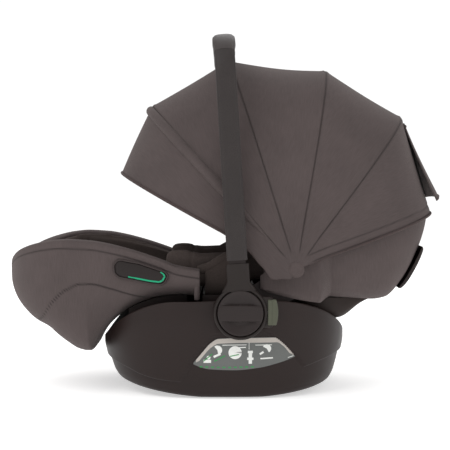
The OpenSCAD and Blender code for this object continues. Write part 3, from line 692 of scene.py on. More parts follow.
def tub_cover(name, x, half, top, low, floor, pull, roll, thick, dent):
    """Fabric over a tub: each section runs down inside the right edge, rolls over it, passes
    under the tub and ends inside the left edge. pull moves the inner part in from the closed
    end and dent gives the depth of the sewn seams at (x, y, z)."""
    edge = top - 4
    u = cup(x, half, edge, low, 261)
    seam = dent(u[..., 0], np.abs(u[..., 1]), u[..., 2])
    u[..., 1] -= np.sign(u[..., 1]) * seam
    b = np.linspace(0, np.pi, 16)[1:]
    reach = np.minimum(roll, half)[:, None] / 2
    ry = half[:, None] - reach * (1 - np.cos(b))[None]
    rz = edge[:, None] + 6.5 * np.sin(b)[None] ** 0.8
    drop = np.linspace(0, 1, 6)[1:]
    depth = np.minimum(16, np.maximum(top - floor - 6, 2))[:, None]
    dy = np.repeat(ry[:, -1:], 5, 1)
    dz = edge[:, None] - depth * drop[None]
    side_y, side_z = np.concatenate([ry, dy], 1), np.concatenate([rz, dz], 1)
    inset = (half[:, None] - side_y) * pull(x)[:, None]
    right = np.stack([x[:, None] + inset, side_y, side_z], -1)
    left = right * [1, -1, 1]
    grid = np.concatenate([left[:, ::-1], u, right], 1)
    blank = np.zeros(right.shape[:2])
    # marks paint shade into the sewn seams' grooves: the cloth is darkened along them
    marks = np.concatenate([blank, np.clip(seam / 1.3 - 0.15, 0, 1), blank], 1)
    obj = make(name, grid.reshape(-1, 3), cells(*grid.shape[:2]), lengths(grid), sharp=70, marks=marks)
    # the cloth's thickness lies inside the outer face
    if sum(p.normal.z * p.area for p in obj.data.polygons if p.center.z < 0.15) > 0:
        obj.data.flip_normals()
    wall = obj.modifiers.new("cloth", "SOLIDIFY")
    wall.thickness = thick * MM
    wall.offset = -1
    return obj


def woven(name, colour, pitch=1.5, depth=0.16, rough=0.88, sheen=0.25, fibre="#8f8683"):
    """Cloth of a plain weave: threads pitch millimetres apart rise and fall in turn along both
    directions of the cut, some threads are lighter than others, and fine fibres catch the
    light. The real threads are 0.4 mm apart, and are drawn coarser so that they show. Raised
    threads are coloured lighter than the hollows, as painted highlight, and the seam attribute
    darkens a sewn line's groove with painted shade."""
    made, tree, place = finish(name)
    cut = add(tree, "ShaderNodeUVMap", {}, uv_map="cut").outputs[0]
    split = add(tree, "ShaderNodeSeparateXYZ", {0: cut})
    waves = [maths(tree, "SINE", maths(tree, "MULTIPLY", split.outputs[k], math.pi / (pitch * MM)))
             for k in (0, 1)]
    height = maths(tree, "ABSOLUTE", maths(tree, "MULTIPLY", *waves))
    drawn = add(tree, "ShaderNodeMapping", {"Vector": cut,
                                            "Scale": (1 / (pitch * MM), 0.08 / (pitch * MM), 1)})
    thread = noise(tree, drawn.outputs[0], 1.0, 2.0)
    slow = noise(tree, place, 18.0, 5.0)
    # painted highlight: the weave's raised threads are coloured lighter, on top of random thread and
    # patch tone
    lit = maths(tree, "MULTIPLY_ADD", height, 0.35, maths(tree, "ADD", thread, slow))
    hue = between(tree, span(tree, lit, 0.75, 1.55), shade(colour, 0.84), shade(colour, 1.16))
    # painted shade: the seam attribute darkens sewn grooves to 0.3 of the cloth's colour
    painted_seam_shade = add(tree, "ShaderNodeAttribute", {}, attribute_name="seam").outputs["Fac"]
    put(tree, tree.nodes["Principled BSDF"], {
        "Base Color": between(tree, painted_seam_shade, hue, shade(colour, 0.3)),
        "Roughness": span(tree, slow, 0, 1, rough - 0.06, rough + 0.08),
        "Normal": relief(tree, maths(tree, "ADD", height, thread), depth, 0.7),
        "Sheen Weight": sheen,
        "Sheen Roughness": 0.5,
        "Sheen Tint": tint(fibre),
        "Specular IOR Level": 0.25})
    return made


def brushed(name, colour, vary=0.2):
    """Brushed jersey over padding: a short nap in soft clumps 2.2 mm across, read from the
    piece's own place because a simulated pad keeps no cut."""
    made, tree, place = finish(name)
    nap = noise(tree, place, 1 / (2.2 * MM), 4.0)
    slow = noise(tree, place, 16.0, 4.0)
    share = span(tree, maths(tree, "ADD", nap, slow), 0.7, 1.3)
    put(tree, tree.nodes["Principled BSDF"], {
        "Base Color": between(tree, share, shade(colour, 1 - vary), shade(colour, 1 + vary)),
        "Roughness": span(tree, slow, 0, 1, 0.87, 1.0),
        "Normal": relief(tree, nap, 0.3, 0.6),
        "Sheen Weight": 0.35,
        "Sheen Roughness": 0.6,
        "Sheen Tint": tint("#8a7d78"),
        "Specular IOR Level": 0.2})
    return made


def fetch(items, key):
    """One property of every mesh item, three numbers each."""
    found = np.zeros(len(items) * 3)
    items.foreach_get(key, found)
    return found.reshape(-1, 3)


def stuffed(obj, voxel=5.0, pressure=4.0, cap=7.0):
    """Swells a closed pad as its stuffing does: the pad is remeshed evenly, blown up as cloth
    for 20 frames with no gravity, and no point moves more than cap millimetres."""
    view = bpy.context.view_layer
    for o in bpy.context.selected_objects:
        o.select_set(False)
    view.objects.active = obj
    even = obj.modifiers.new("even", "REMESH")
    even.mode = "VOXEL"
    even.voxel_size = voxel * MM
    bpy.ops.object.modifier_apply(modifier="even")
    start = fetch(obj.data.vertices, "co")
    cloth = obj.modifiers.new("stuffing", "CLOTH")
    cloth.settings.quality = 5
    cloth.settings.mass = 0.3
    cloth.settings.use_pressure = True
    cloth.settings.uniform_pressure_force = pressure
    cloth.settings.effector_weights.gravity = 0
    cloth.settings.tension_stiffness = 12
    cloth.settings.compression_stiffness = 12
    cloth.settings.bending_stiffness = 0.6
    cloth.point_cache.frame_start = 1
    cloth.point_cache.frame_end = 20
    for f in range(1, 21):
        bpy.context.scene.frame_set(f)
    seen = obj.evaluated_get(bpy.context.evaluated_depsgraph_get()).data
    move = fetch(seen.vertices, "co") - start
    obj.modifiers.remove(cloth)
    bpy.context.scene.frame_set(1)
    far = np.linalg.norm(move, axis=1, keepdims=True)
    move *= np.minimum(1, cap * MM / np.maximum(far, 1e-9))
    obj.data.vertices.foreach_set("co", (start + move).ravel())
    finer = obj.modifiers.new("finer", "SUBSURF")
    finer.levels = finer.render_levels = 1
    bpy.ops.object.modifier_apply(modifier="finer")
    obj.data.polygons.foreach_set("use_smooth", [True] * len(obj.data.polygons))
    return obj


def sew(obj, lines):
    """Presses sewn channels into a finished pad: lines gives each point's depth in
    millimetres along its normal, from its place in millimetres."""
    mesh = obj.data
    p, normal = fetch(mesh.vertices, "co"), fetch(mesh.vertices, "normal")
    depth = lines(p[:, 0] / MM, p[:, 1] / MM, p[:, 2] / MM, normal)
    mesh.vertices.foreach_set("co", (p - normal * (depth * MM)[:, None]).ravel())
    mesh.update()
    return obj


def stitch(d, width=1.6, depth=1.6, plump=0.7, spread=7):
    """Sewn line: a groove where d is 0, with the padding swelling beside it."""
    return depth * bell(d, width) - plump * bell(np.abs(d) - spread, 4)


theta = np.linspace(np.pi / 2, 0, 60)
leg_x = np.concatenate([-230 + (leg_tip + 230) * np.sin(theta), np.linspace(-230, leg_end, 90)[1:]])


def leg_dent(x, y, z):
    """Depth of the leg cover's sewn seams: along the flank, and beside the bound edge."""
    low_seam = 1.5 * bell(z - pchip(x, flank_seam), 1.6) * ease((x + 325) / 25)
    bind = 1.2 * bell(pchip(x, leg_tops) - 12 - z, 1.5)
    return (low_seam + bind) * ease(y / 60)


outer_knit = woven("knitted_cover_cloth", "#504746", pitch=1.5)
leg_cover = tub_cover("leg_cover_cloth", leg_x, leg_half(leg_x), pchip(leg_x, leg_tops), leg_low(leg_x),
                      pchip(leg_x, leg_floors), toe, 25, 2.2, leg_dent)
dress(leg_cover, outer_knit, "leg", "outer_fabric", "leg_cover", "leg_foam")


def bed_pad(name, x, half, top, floor, pull, thick, edge=5):
    """Padded liner in a tub: a closed form between the bed and thick millimetres above it,
    with a rounded top edge."""
    under = cup(x + pull(x) * bed_in, np.maximum(half - bed_in, 0.5), top - edge, floor)
    inner = np.maximum(half - bed_in - thick, 0.3)
    over = cup(x + pull(x) * (bed_in + thick), inner, top - edge, floor + thick)
    b = np.linspace(0, np.pi, 7)[1:-1]
    b = b[None, :, None]
    rolls = []
    for k in ([0], [-1]):
        middle, half_gap = (under[:, k] + over[:, k]) / 2, (under[:, k] - over[:, k]) / 2
        rolls.append(middle + half_gap * np.cos(b) + np.array([0, 0, edge]) * np.sin(b))
    ring = np.concatenate([under, rolls[1], over[:, ::-1], rolls[0][:, ::-1]], 1)
    n, m = ring.shape[:2]
    faces = cells(n, m, True).tolist()
    index = np.arange(n * m).reshape(n, m)
    k = under.shape[1]
    half_ring = k + b.size
    # each end closes by quads between its outer and inner line
    for row in (index[0], index[-1]):
        outside, inside = row[:k], row[half_ring:half_ring + k][::-1]
        faces += strip(outside, inside).tolist()
        faces.append([row[k - 1], *row[k:half_ring], row[half_ring]])
        faces.append([row[half_ring + k - 1], *row[half_ring + k:], row[0]])
    return make(name, ring.reshape(-1, 3), faces, sharp=80)


liner_cloth = brushed("brushed_liner_jersey", "#3b3330")
x = leg_x[(leg_x > -345) & (leg_x < leg_end - 1)][::3]
leg_pad = bed_pad("leg_liner_pad", x, leg_half(x), pchip(x, leg_tops) + 1, pchip(x, leg_floors) + 1,
                  toe, 9)
stuffed(leg_pad, 5, 4, 4)


def leg_channels(x, y, z, normal):
    """Quilting of the liner's upper face: a line down the middle, one along each side, and
    cross lines 62 mm apart."""
    up = ease((normal[:, 2] + 0.1) / 0.6)
    d = np.minimum(np.abs(y), np.abs(np.abs(y) - 62))
    cross = np.abs((x + 75 + 31) % 62 - 31)
    return (stitch(d) + stitch(cross) * (np.abs(y) < 100)) * up


sew(leg_pad, leg_channels)
dress(leg_pad, liner_cloth, "leg", "liner_fabric", "leg_liner")


def tube(name, line, u, v, r, along, girth, around):
    """Round tube of radius r at each point of a line, spanned by the directions u and v. Its
    cut runs along the line, and girth millimetres per radian round it."""
    a = np.arange(around) * 2 * np.pi / around
    ring = u * np.cos(a)[None, :, None] + v * np.sin(a)[None, :, None]
    grid = line[:, None] + r[:, None, None] * ring
    cut = np.stack(np.broadcast_arrays(along[:, None], a[None] * girth), -1).reshape(-1, 2) * MM
    return make(name, grid.reshape(-1, 3), cells(len(line), around, True), cut, sharp=80)


def end_roll(side):
    """Piping down one end of the leg cover, thinned at both ends."""
    t = np.linspace(0, 1, 40)
    z = 203.5 - 47 * t
    y = leg_w / 2 - 6.5 - 6 * ease((0.16 - t) / 0.16)
    r = 4.6 * np.clip(arch(2 * t - 1, 8), 0.03, 1)
    line = np.stack([np.full(40, leg_end - 4.5), side * y, z], -1)
    return tube("roll", line, np.array([1, 0, 0]), np.array([0, 1, 0]), r, z, 4.6, 20)


dress(pair("leg_end_piping", end_roll), outer_knit, "leg", "outer_fabric")

# ---- belt guides ----
# A soft-edged plastic pod on each flank guides the car's lap belt. Its door lifts off a green
# route stripe, and both are held in the pod's rim.

pod_y = leg_w / 2 - 0.8
pod = [(-178, 214), (-172, 222), (-165, 224), (-135, 218.5), (-104, 208), (-93, 204), (-88, 197),
       (-93, 186), (-100, 181), (-118, 183), (-142, 188), (-168, 193), (-176, 200)]


def dished(name, outline, side, profile):
    """Pad whose outline is drawn in and raised by each (inset, y) step of a profile, then
    closed at both ends."""
    rows = [(inset_outline(outline, d), y) for d, y in profile]
    ends = [(drawn_in(p, 0.02), y) for p, y in (rows[0], rows[-1])]
    return layers(name, [ends[0], *rows, ends[1]], side, 50)


pod_line = rounded_outline(pod, 9, 5)
pod_soft = moulded("soft_moulded_guide", "#3f3736", rough=0.55, grain=1.0)
door_soft = moulded("guide_door_moulding", "#241e1d", rough=0.5, grain=1.0)
stripe_green = moulded("route_stripe_green", "#1f9a70", rough=0.42, grain=1.2, patch=0.08)
rim_steps = [(0, pod_y), (0, pod_y + 2.5), (0.4, pod_y + 4.4), (1.1, pod_y + 5.7), (1.9, pod_y + 6),
             (2.7, pod_y + 5.4), (3.0, pod_y + 4.4), (3.1, pod_y + 1.8)]
rims = pair("belt_guide_rims", lambda s: dished("rim", pod_line, s, rim_steps))
dress(rims, pod_soft, "leg", "shell_plastic", "guide_pods")
for side, hand in ((-1, "left"), (1, "right")):
    door = dished("guide_door_cap_" + hand, pod_line, side,
                  [(3.6, pod_y + 3.3), (3.6, pod_y + 4.4), (4.1, pod_y + 5.1), (5.4, pod_y + 5.4)])
    dress(door, door_soft, "door_" + hand, "shell_plastic", "guide_door_" + hand)
    line = [(-153, 195.6), (-142, 193.6), (-118, 188.9), (-104, 187.4), (-99, 189.6), (-95.4, 195.8),
            (-97.4, 200), (-102, 203)]
    marks = []
    for (x0, z0), (x1, z1) in zip(line, line[1:]):
        px, pz = bar_patch(x0, z0, x1, z1, 2.6 if z1 < 189 or x1 > -101 else 1.9, 4)
        outer, inner = (np.stack([px, np.full(px.shape, side * y), pz], -1)
                        for y in (pod_y + 5.9, pod_y + 5.0))
        marks.append(shell("mark", outer, inner))
    dress(join("route_stripe_" + hand, *marks), stripe_green, "door_" + hand, "route_green",
          *(["guide_inlays"] if side > 0 else []))

# ---- backrest ----
# The head end is a tub like the foot end: a knitted cover over plastic and foam, sewn below
# its bound edge, and a padded jersey liner inside. A rubber gaiter sits under it and moves with it.

tub_w = 326
back_tops = [(62, 220), (90, 250), (130, 278), (180, 297), (240, 306), (300, 304), (342, 298)]
back_lows = [(62, 174), (113, 161), (165, 152), (205, 150), (245, 148), (265, 151), (290, 175),
             (324, 236), (340, 280), (342, 286)]
back_floors = [(62, 184), (100, 178), (265, 178), (280, 181), (300, 206), (316, 240), (342, 290)]


def heel(x):
    """Share of an inset that also moves a section in from the head end."""
    return np.maximum(0, (x - 250) / 90)


def back_half(x):
    """Half width of the backrest: constant, then a superelliptic head end."""
    return tub_w / 2 * np.where(x > 170, arch((x - 170) / 172, 2.4), 1)


def back_dent(x, y, z):
    """Depth of the backrest cover's sewn seams."""
    return 1.1 * bell(pchip(x, back_tops) - 12 - z, 1.5) * ease(y / 60)


theta = np.linspace(0, np.pi / 2, 60)
back_x = np.concatenate([np.linspace(62, 170, 50)[:-1], 170 + 171.8 * np.sin(theta)])
back_cover = tub_cover("back_cover_cloth", back_x, back_half(back_x), pchip(back_x, back_tops),
                       pchip(back_x, back_lows), pchip(back_x, back_floors), lambda v: -heel(v), 25, 2.2,
                       back_dent)
dress(back_cover, outer_knit, "back", "outer_fabric", "back_cover", "back_foam")
x = back_x[(back_x > 63) & (back_x < 318)][::3]
back_pad = bed_pad("back_liner_pad", x, back_half(x), pchip(x, back_tops) + 1, pchip(x, back_floors) + 1,
                   lambda v: -heel(v), 9)
stuffed(back_pad, 5, 4, 4)
sew(back_pad, lambda x, y, z, normal: (stitch(np.abs(y) - 58) + stitch((x + 20) % 64 - 32))
    * ease((normal[:, 2] + 0.1) / 0.6))
dress(back_pad, liner_cloth, "back", "liner_fabric", "back_liner")


def hinge_cover(side):
    """Cloth over a hinge plate: a patch of the side view that bends in to meet the tub."""
    t = np.linspace(0, 1, 60)[:, None]
    x = 56 + 118 * t
    low = pchip(x, [(56, 176), (62, 172.6), (139, 155), (174, 151.5)])
    high = pchip(x, [(56, 196), (90, 226), (174, 232)])
    v = np.linspace(0, 1, 40)[None]
    z = low + (high - low) * v
    drop = (pchip(x, back_tops) - 4 - z) / (pchip(x, back_tops) - 4 - pchip(x, back_lows))
    tub = tub_w / 2 * arch(np.clip(drop, 0, 1), 4) - 1.2
    y = 174.2 - 3.5 * ease((0.09 - v) / 0.09) - 3.5 * ease((62 - x) / 6)
    y = y + (tub - y) * ease((x - 148.5) / 25.5)
    outer = np.stack(np.broadcast_arrays(x, side * y, z), -1)
    inner = np.stack(np.broadcast_arrays(x, side * (y - 2.2), z), -1)
    return shell("hinge_cover", outer, inner, sharp=70)


dress(pair("hinge_plate_covers", hinge_cover), outer_knit, "back", "outer_fabric")
x = np.linspace(110, 238, 40)
under = pchip(x, back_lows) + 4
keel_low = pchip(x, [(110, 152), (140, 128), (168, 114), (192, 117), (225, 142), (238, 151)])
keel_half = pchip(x, [(110, 112), (160, 108), (200, 96), (238, 84)])
outer = cup(x, keel_half, under, keel_low)
inner = cup(x, keel_half - 3, under, keel_low + 3)
gaiter = shell("recline_gaiter", outer, inner, sharp=60)
gaiter_rubber = moulded("soft_rubber_gaiter", "#2a211e", rough=0.6, grain=1.1)
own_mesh(gaiter)
dress(gaiter, gaiter_rubber, "back", "shell_plastic")

# ---- headrest ----
# A plastic cradle slides along the backrest. Its padded cushion has a sewn middle panel.

rest_floor = float(pchip(200, back_floors)) + 11
x = np.linspace(161, 227, 16)
half = 94 * pchip(x, [(158, 0.96), (172, 1), (212, 1), (228, 0.95)])
outer = cup(x, half - 5.4, 261, rest_floor + 5.2)
inner = cup(x, half - 17, 261, rest_floor + 15.5)
head_pad = shell("headrest_cushion", outer, inner, sharp=80)
stuffed(head_pad, 4.5, 4, 4)
sew(head_pad, lambda x, y, z, normal: stitch(np.abs(y) - 40, 1.5, 1.4)
    * ease((normal[:, 2] - 0.1) / 0.5))
dress(head_pad, liner_cloth, "headrest", "liner_fabric", "headrest_pad")

# ---- seat middle and hip bolsters ----
# Between the two tubs a padded jersey liner lines the base. Its rolled side edges climb from
# the foot end to the canopy, and two stuffed bolsters hold a small baby's hips.

mid_half = 146.7
roll_y = 139


def limp_tube(name, path, wide, tall, around=28, plump=2.4):
    """Stuffed tube: a superellipse section wide by tall, upright across a path in millimetres,
    tapering to a rounded end at both ends."""
    p = np.asarray(path, float)
    s = np.linspace(0, 1, len(p))
    fine = np.linspace(0, 1, 72)
    line = np.stack([pchip(fine, np.stack([s, p[:, k]], -1)) for k in range(3)], -1)
    size = np.clip(arch(2 * fine - 1, 9), 0.02, 1)[:, None]
    w = (wide(fine) if callable(wide) else np.full(72, wide))[:, None] * size / 2
    t = (tall(fine) if callable(tall) else np.full(72, tall))[:, None] * size / 2
    along = unit(np.gradient(line, axis=0))
    out = unit(np.cross(along, [0, 0, 1.0]))
    up = np.cross(out, along)
    a = np.arange(around) * 2 * np.pi / around
    grid = (line[:, None] + out[:, None] * (w * spow(np.cos(a), 2 / plump)[None])[..., None]
            + up[:, None] * (t * spow(np.sin(a), 2 / plump)[None])[..., None])
    return make(name, grid.reshape(-1, 3), cells(72, around, True), sharp=80)


x = np.linspace(-31.5, 23.5, 14)
top = pchip(x, [(-32, 211), (-10, 224), (24, 238)]) - 8
under = cup(x, mid_half, top, 146.6, 81)
over = cup(x, mid_half - 11, top, 160.5, 81)
middle_pad = shell("middle_liner_pad", under, over, sharp=80)
edge_line = [(-44, 203), (-28, 207.5), (-10, 218), (8, 228), (28, 236)]
edge_rolls = [limp_tube("roll", [(x, s * roll_y, z) for x, z in edge_line], 17, 15) for s in (-1, 1)]
middle_liner = join("middle_liner_pad", middle_pad, *edge_rolls)
dress(middle_liner, liner_cloth, "base", "liner_fabric", "mid_liner")
bolster_cloth = brushed("brushed_bolster_jersey", "#4a413e")
bolster_line = [(-98, 101, 205), (-70, 101, 206), (-35, 101, 203), (0, 101, 204), (40, 100, 210),
                (80, 100, 216), (128, 98, 220)]
bolsters = pair("hip_bolsters", lambda s: limp_tube(
    "bolster", [(x, s * y, z) for x, y, z in bolster_line], lambda t: 26 + 6 * np.sin(np.pi * t),
    lambda t: 48 + 14 * np.sin(np.pi * t) ** 0.5, plump=2.7))
stuffed(bolsters, 5, 4, 5)
sew(bolsters, lambda x, y, z, normal: 1.3 * bell((x + 20) % 70 - 35, 2.2))
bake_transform(bolsters)
dress(bolsters, bolster_cloth, None, "liner_fabric")

# ---- harness ----
# Polyester webbing comes over the shoulders and round the hips to a moulded buckle, with a
# strap between the legs. Sleeves and a pad of the liner's jersey cover it where it touches.


def strap(name, path, width, thick, y, slope=0.0):
    """Flat webbing: a strip width wide laid along a side view's path of (x, z), its middle at
    y and moving outwards by slope, with a slightly raised edge."""
    p = np.asarray(path, float)
    s = np.linspace(0, 1, len(p))
    fine = np.linspace(0, 1, 40)
    line = np.stack([pchip(fine, np.stack([s, p[:, k]], -1)) for k in range(2)], -1)
    d = unit(np.gradient(line, axis=0))
    normal = np.stack([-d[:, 1], d[:, 0]], -1)
    v = np.linspace(-1, 1, 15)
    full = thick / 2 * (0.82 + 0.18 * np.abs(v) ** 3) * arch(v, 10)
    grids = []
    for k in (1, -1):
        off = normal[:, None] * (k * full)[None, :, None]
        yy = y + slope * (line[:, :1] - line[0, 0]) + v[None] * width / 2
        grids.append(np.stack([line[:, None, 0] + off[..., 0], yy, line[:, None, 1] + off[..., 1]], -1))
    return shell(name, grids[0], grids[1], sharp=60)


webbing = woven("polyester_webbing", "#2b2728", pitch=1.8, depth=0.25, rough=0.7, sheen=0.1,
                fibre="#5a5657")
web_w, web_t = 38, 2.2
web_y = 42                      # from the seat's middle to each shoulder strap
shoulder_line = [(47, 206), (70, 204), (110, 201), (158, 201)]
shoulders = pair("shoulder_webbing", lambda s: strap("strap", shoulder_line, web_w, web_t, s * web_y))
dress(shoulders, webbing, "back", "webbing", "shoulder_straps")
sleeve_line = [(60, 211), (80, 209.4), (115, 207.2), (150, 207)]
shoulder_sleeves = pair("shoulder_sleeves", lambda s: limp_tube(
    "pad", [(x, s * web_y, z) for x, z in sleeve_line], 46, 10, plump=3))
stuffed(shoulder_sleeves, 3, 3, 1.5)
dress(shoulder_sleeves, liner_cloth, "back", "liner_fabric", "shoulder_pads")
hip_line = [(24.5, 175.3), (32, 175.4), (40, 176)]
hips = pair("hip_webbing", lambda s: strap("strap", hip_line, web_w / 2, web_t, s * 12, s * 1.1))
dress(hips, webbing, "base", "webbing", "hip_straps")
low, high = node_box("adjuster_strap")
pull_line = [(low[0], low[2] + 1), (low[0] + 26, low[2] + 1.1), (high[0], high[2] - 1.2)]
pull_strap = strap("adjuster_webbing", pull_line, high[1] - low[1], 2.1, 0)
dress(pull_strap, webbing, "leg", "webbing", "adjuster_strap")
low, high = node_box("crotch_strap")
v = np.linspace(-1, 1, 15)
t = np.linspace(low[2], high[2], 12)[:, None]
x = (low[0] + high[0]) / 2
front = np.stack([np.broadcast_to(x - 1.3 * arch(v, 10) * (0.8 + 0.2 * np.abs(v) ** 3), (12, 15)),
                  np.broadcast_to(v * high[1], (12, 15)), np.broadcast_to(t, (12, 15))], -1)
rear_face = front.copy()
rear_face[..., 0] = 2 * x - front[..., 0]
dress(shell("crotch_webbing", front, rear_face, sharp=60), webbing, "base", "webbing", "crotch_strap")
low, high = node_box("crotch_pad")
middle = (low + high) / 2
pad_line = [(v, 0, middle[2]) for v in (low[0] + 0.5, middle[0], high[0] - 0.5)]
pad = limp_tube("crotch_cushion", pad_line,
                lambda t: (high[1] - low[1]) * (1 - 0.2 * t), high[2] - low[2], plump=3)
stuffed(pad, 3, 3, 1.0)
dress(pad, liner_cloth, "base", "liner_fabric", "crotch_pad")

# ---- canopy ----
# Knitted cloth is stretched over five sprung bows that turn on one pin a side. Each panel is
# sewn to its neighbours along a bow, with a narrow ridge where the bow runs in its sleeve.

pivot = joints["hood_back_fold"]
pivot_x, _, pivot_z = (v / MM for v in pivot["pos_m"])
hood_rear = (19.7, 251, 170)     # each bow: direction from the pin in degrees, reach, half width
rear_bow = (53, 308, 171)
back_bow = (80, 329, 175.5)
middle_bow = (107.4, 357, 180)
front_bow = (131.6, 354, 184.5)
visor_end = (151, 325, 189)
foot_half = 192.8
cloth_t = 2.4
visor_hem = [(0, 240), (14, 240), (26.6, 214), (42, 201), (50, 179), (85, 157.5), (136, 153),
             (194, 152.5), (262, 152.2), (325, 152)]
hood_cloth = woven("canopy_knit", "#4f4645", pitch=1.6, depth=0.18)


def hood_loop(half, reach, steps=64):
    """Half loop over the seat at each reach: up from the pin, out to the half width at a
    quarter of the reach, then over in a superellipse. Gives (across, out) at each step."""
    knee = reach * 0.25
    b = np.linspace(0, np.pi / 2, steps)
    u = knee[:, None] + (reach - knee)[:, None] * spow(np.sin(b), 0.77)[None]
    y = half[:, None] * spow(np.cos(b), 0.77)[None]
    t = np.linspace(0, 1, 22)[:-1]
    foot_u = 1.5 + (knee[:, None] - 1.5) * t[None]
    flare = 1 - ease((foot_u - 10) / (knee[:, None] * 0.95 - 10))
    foot_y = half[:, None] + (foot_half - half)[:, None] * flare
    right = np.stack([np.concatenate([foot_y, y], 1), np.concatenate([foot_u, u], 1)], -1)
    return np.concatenate([right, (right * [-1, 1])[:, ::-1][:, 1:]], 1)


def hood_panel(name, a, b, sag, hem=None, hem_seams=()):
    """One panel between bows a and b: straight threads run between the bows, its middle sags,
    and a ridge with a sewn groove runs along each shared bow; the grooves are darkened with
    painted shade."""
    t = np.linspace(0, 1, 48)
    da, db = math.radians(a[0]), math.radians(b[0])
    chord = a[1] * np.sin(t * (db - da)) + b[1] * np.sin((1 - t) * (db - da))
    reach = a[1] * b[1] * math.sin(db - da) / chord - sag * np.sin(np.pi * t)
    loop = hood_loop(a[2] + (b[2] - a[2]) * ease(t) + 0.6 + cloth_t, reach)
    y, u = loop[..., 0], loop[..., 1]
    if hem is not None:
        turn = da + t[:, None] * (np.radians(pchip(u, hem)) - da)
    else:
        turn = (da + t * (db - da))[:, None] + 0 * u
    # marks paint shade into the sewn grooves along the bows and the hem seams
    lift, marks = np.zeros(u.shape), np.zeros(u.shape)
    for bow in [bow for bow in (a, b) if bow not in (hood_rear, visor_end)]:
        s = u * np.sin(turn - math.radians(bow[0]))
        lift += (1.7 * bell(s, 5) - 1.9 * bell(s, 1.7)) * ease((u - 30) / 40)
        marks = np.maximum(marks, 0.75 * bell(s, 1.1))
    for place in hem_seams:
        s = u * np.abs(turn - da) - place
        lift -= 0.9 * bell(s, 1.5) * ease((u - 20) / 30)
        marks = np.maximum(marks, 0.6 * bell(s, 1.2))
    # soft unevenness where the cloth hangs between the bows
    lift += 0.9 * np.sin(np.pi * t)[:, None] * np.sin(u / 41 + y / 37) * ease((u - 40) / 60)
    scale = 1 + lift / np.maximum(np.hypot(u, y), 60)
    marks *= ease((u - 24) / 10)
    u, y = u * scale, y * scale
    grid = np.stack([pivot_x + u * np.cos(turn), y, pivot_z + u * np.sin(turn)], -1)
    obj = make(name, grid.reshape(-1, 3), cells(*grid.shape[:2]), lengths(grid), sharp=70, marks=marks)
    crown = max(obj.data.polygons, key=lambda p: p.center.z)
    if crown.normal.z < 0:
        obj.data.flip_normals()
    cut = lengths(grid)
    size = cut.max(0) - cut.min(0)
    area = sum(p.area for p in obj.data.polygons)
    wall = obj.modifiers.new("cloth", "SOLIDIFY")
    wall.thickness = 2.0 * MM
    wall.offset = -1
    obj.data.materials.append(hood_cloth)
    return obj, size, area


panels = [
    ("canopy_rear_panel", hood_rear, rear_bow, 0, ("back",), "panel_hood_rear", ("bow_rear",)),
    ("canopy_crown_panel", rear_bow, back_bow, 2, ("back", "hood_back"), "panel_fixed",
     ("bow_rear", "bow_back")),
    ("canopy_back_panel", back_bow, middle_bow, 5, ("hood_back", "hood_middle"), "panel_back",
     ("bow_back", "bow_middle")),
    ("canopy_middle_panel", middle_bow, front_bow, 2, ("hood_middle", "hood_front"), "panel_middle",
     ("bow_middle", "bow_front")),
    ("canopy_visor", front_bow, visor_end, 0, ("hood_front", "hood_visor"), "panel_visor",
     ("bow_front", "visor_bow"))]
for name, a, b, sag, bodies, node, bows in panels:
    panel, size, area = hood_panel(name, a, b, sag, visor_hem if b is visor_end else None,
                                   (3, 15) if a is hood_rear else ())
    if len(bodies) > 1:
        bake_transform(panel)
    else:
        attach(panel, *bodies)
    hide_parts(node)


def hood_tube(name, bow, radius, grow=0.0, angle=None, foot=40):
    """Piping along a bow: a round tube whose radius thins towards the pin, its middle grow
    millimetres outside the bow's line. angle gives its direction at each distance out."""
    line = hood_loop(np.array([bow[2] + 3.0]), np.array([float(bow[1])]))[0]
    line = line[line[:, 1] > foot]
    y, u = line[:, 0], line[:, 1]
    scale = 1 + grow / np.hypot(u, y)
    turn = np.radians(np.full(u.shape, float(bow[0])) if angle is None else pchip(u, angle))
    p = np.stack([pivot_x + u * scale * np.cos(turn), y * scale, pivot_z + u * scale * np.sin(turn)], -1)
    along = unit(np.gradient(p, axis=0))
    side = np.stack([-np.sin(turn), 0 * turn, np.cos(turn)], -1)
    side = unit(side - along * np.sum(side * along, 1, keepdims=True))
    out = np.cross(along, side)
    thick = radius * np.clip((u - foot + 4) / (0.42 * bow[1]), 0.14, 1)
    ends = np.ones(len(u))
    ends[[0, -1]] = 0.03
    along = np.cumsum(np.linalg.norm(np.diff(p, axis=0, prepend=p[:1]), axis=1))
    return tube(name, p, side[:, None], out[:, None], thick * ends, along, radius, 14)


roll = hood_tube("canopy_front_roll", (132.8, 349, 184), 8.5)
dress(roll, hood_cloth, "hood_front", "outer_fabric")
piping_cloth = woven("canopy_piping_cloth", "#463b3a", pitch=1.4, depth=0.12)
hem_bind = hood_tube("visor_hem_binding", (152, 324.5, 189), 2.4, 0.4, angle=visor_hem, foot=16)
dress(hem_bind, piping_cloth, "hood_visor", "outer_fabric")
cap_cloth = brushed("canopy_cap_jersey", "#4f4645", vary=0.1)
cap_line = [(0.01, 194.9), (5, 194.8), (9, 194.4), (11.5, 193.6), (12.4, 192.4), (12, 191.4),
            (0.01, 191.4)]
caps = pair("canopy_pivot_caps", lambda s: lathe("cap", cap_line, pivot_x, pivot_z, s, 48))
dress(caps, cap_cloth, "back", "outer_fabric")
rear_bind = hood_tube("rear_hem_binding", (19.9, 250.6, 170.2), 1.8, 0.4, foot=10)
dress(rear_bind, piping_cloth, "back", "outer_fabric")

# ---- canopy window ----
# A dark mesh window behind the canopy is covered by a flap of its cloth, which is propped out
# like an awning. Piping stiffens its two long edges, and a plain woven tab is sewn beneath it.


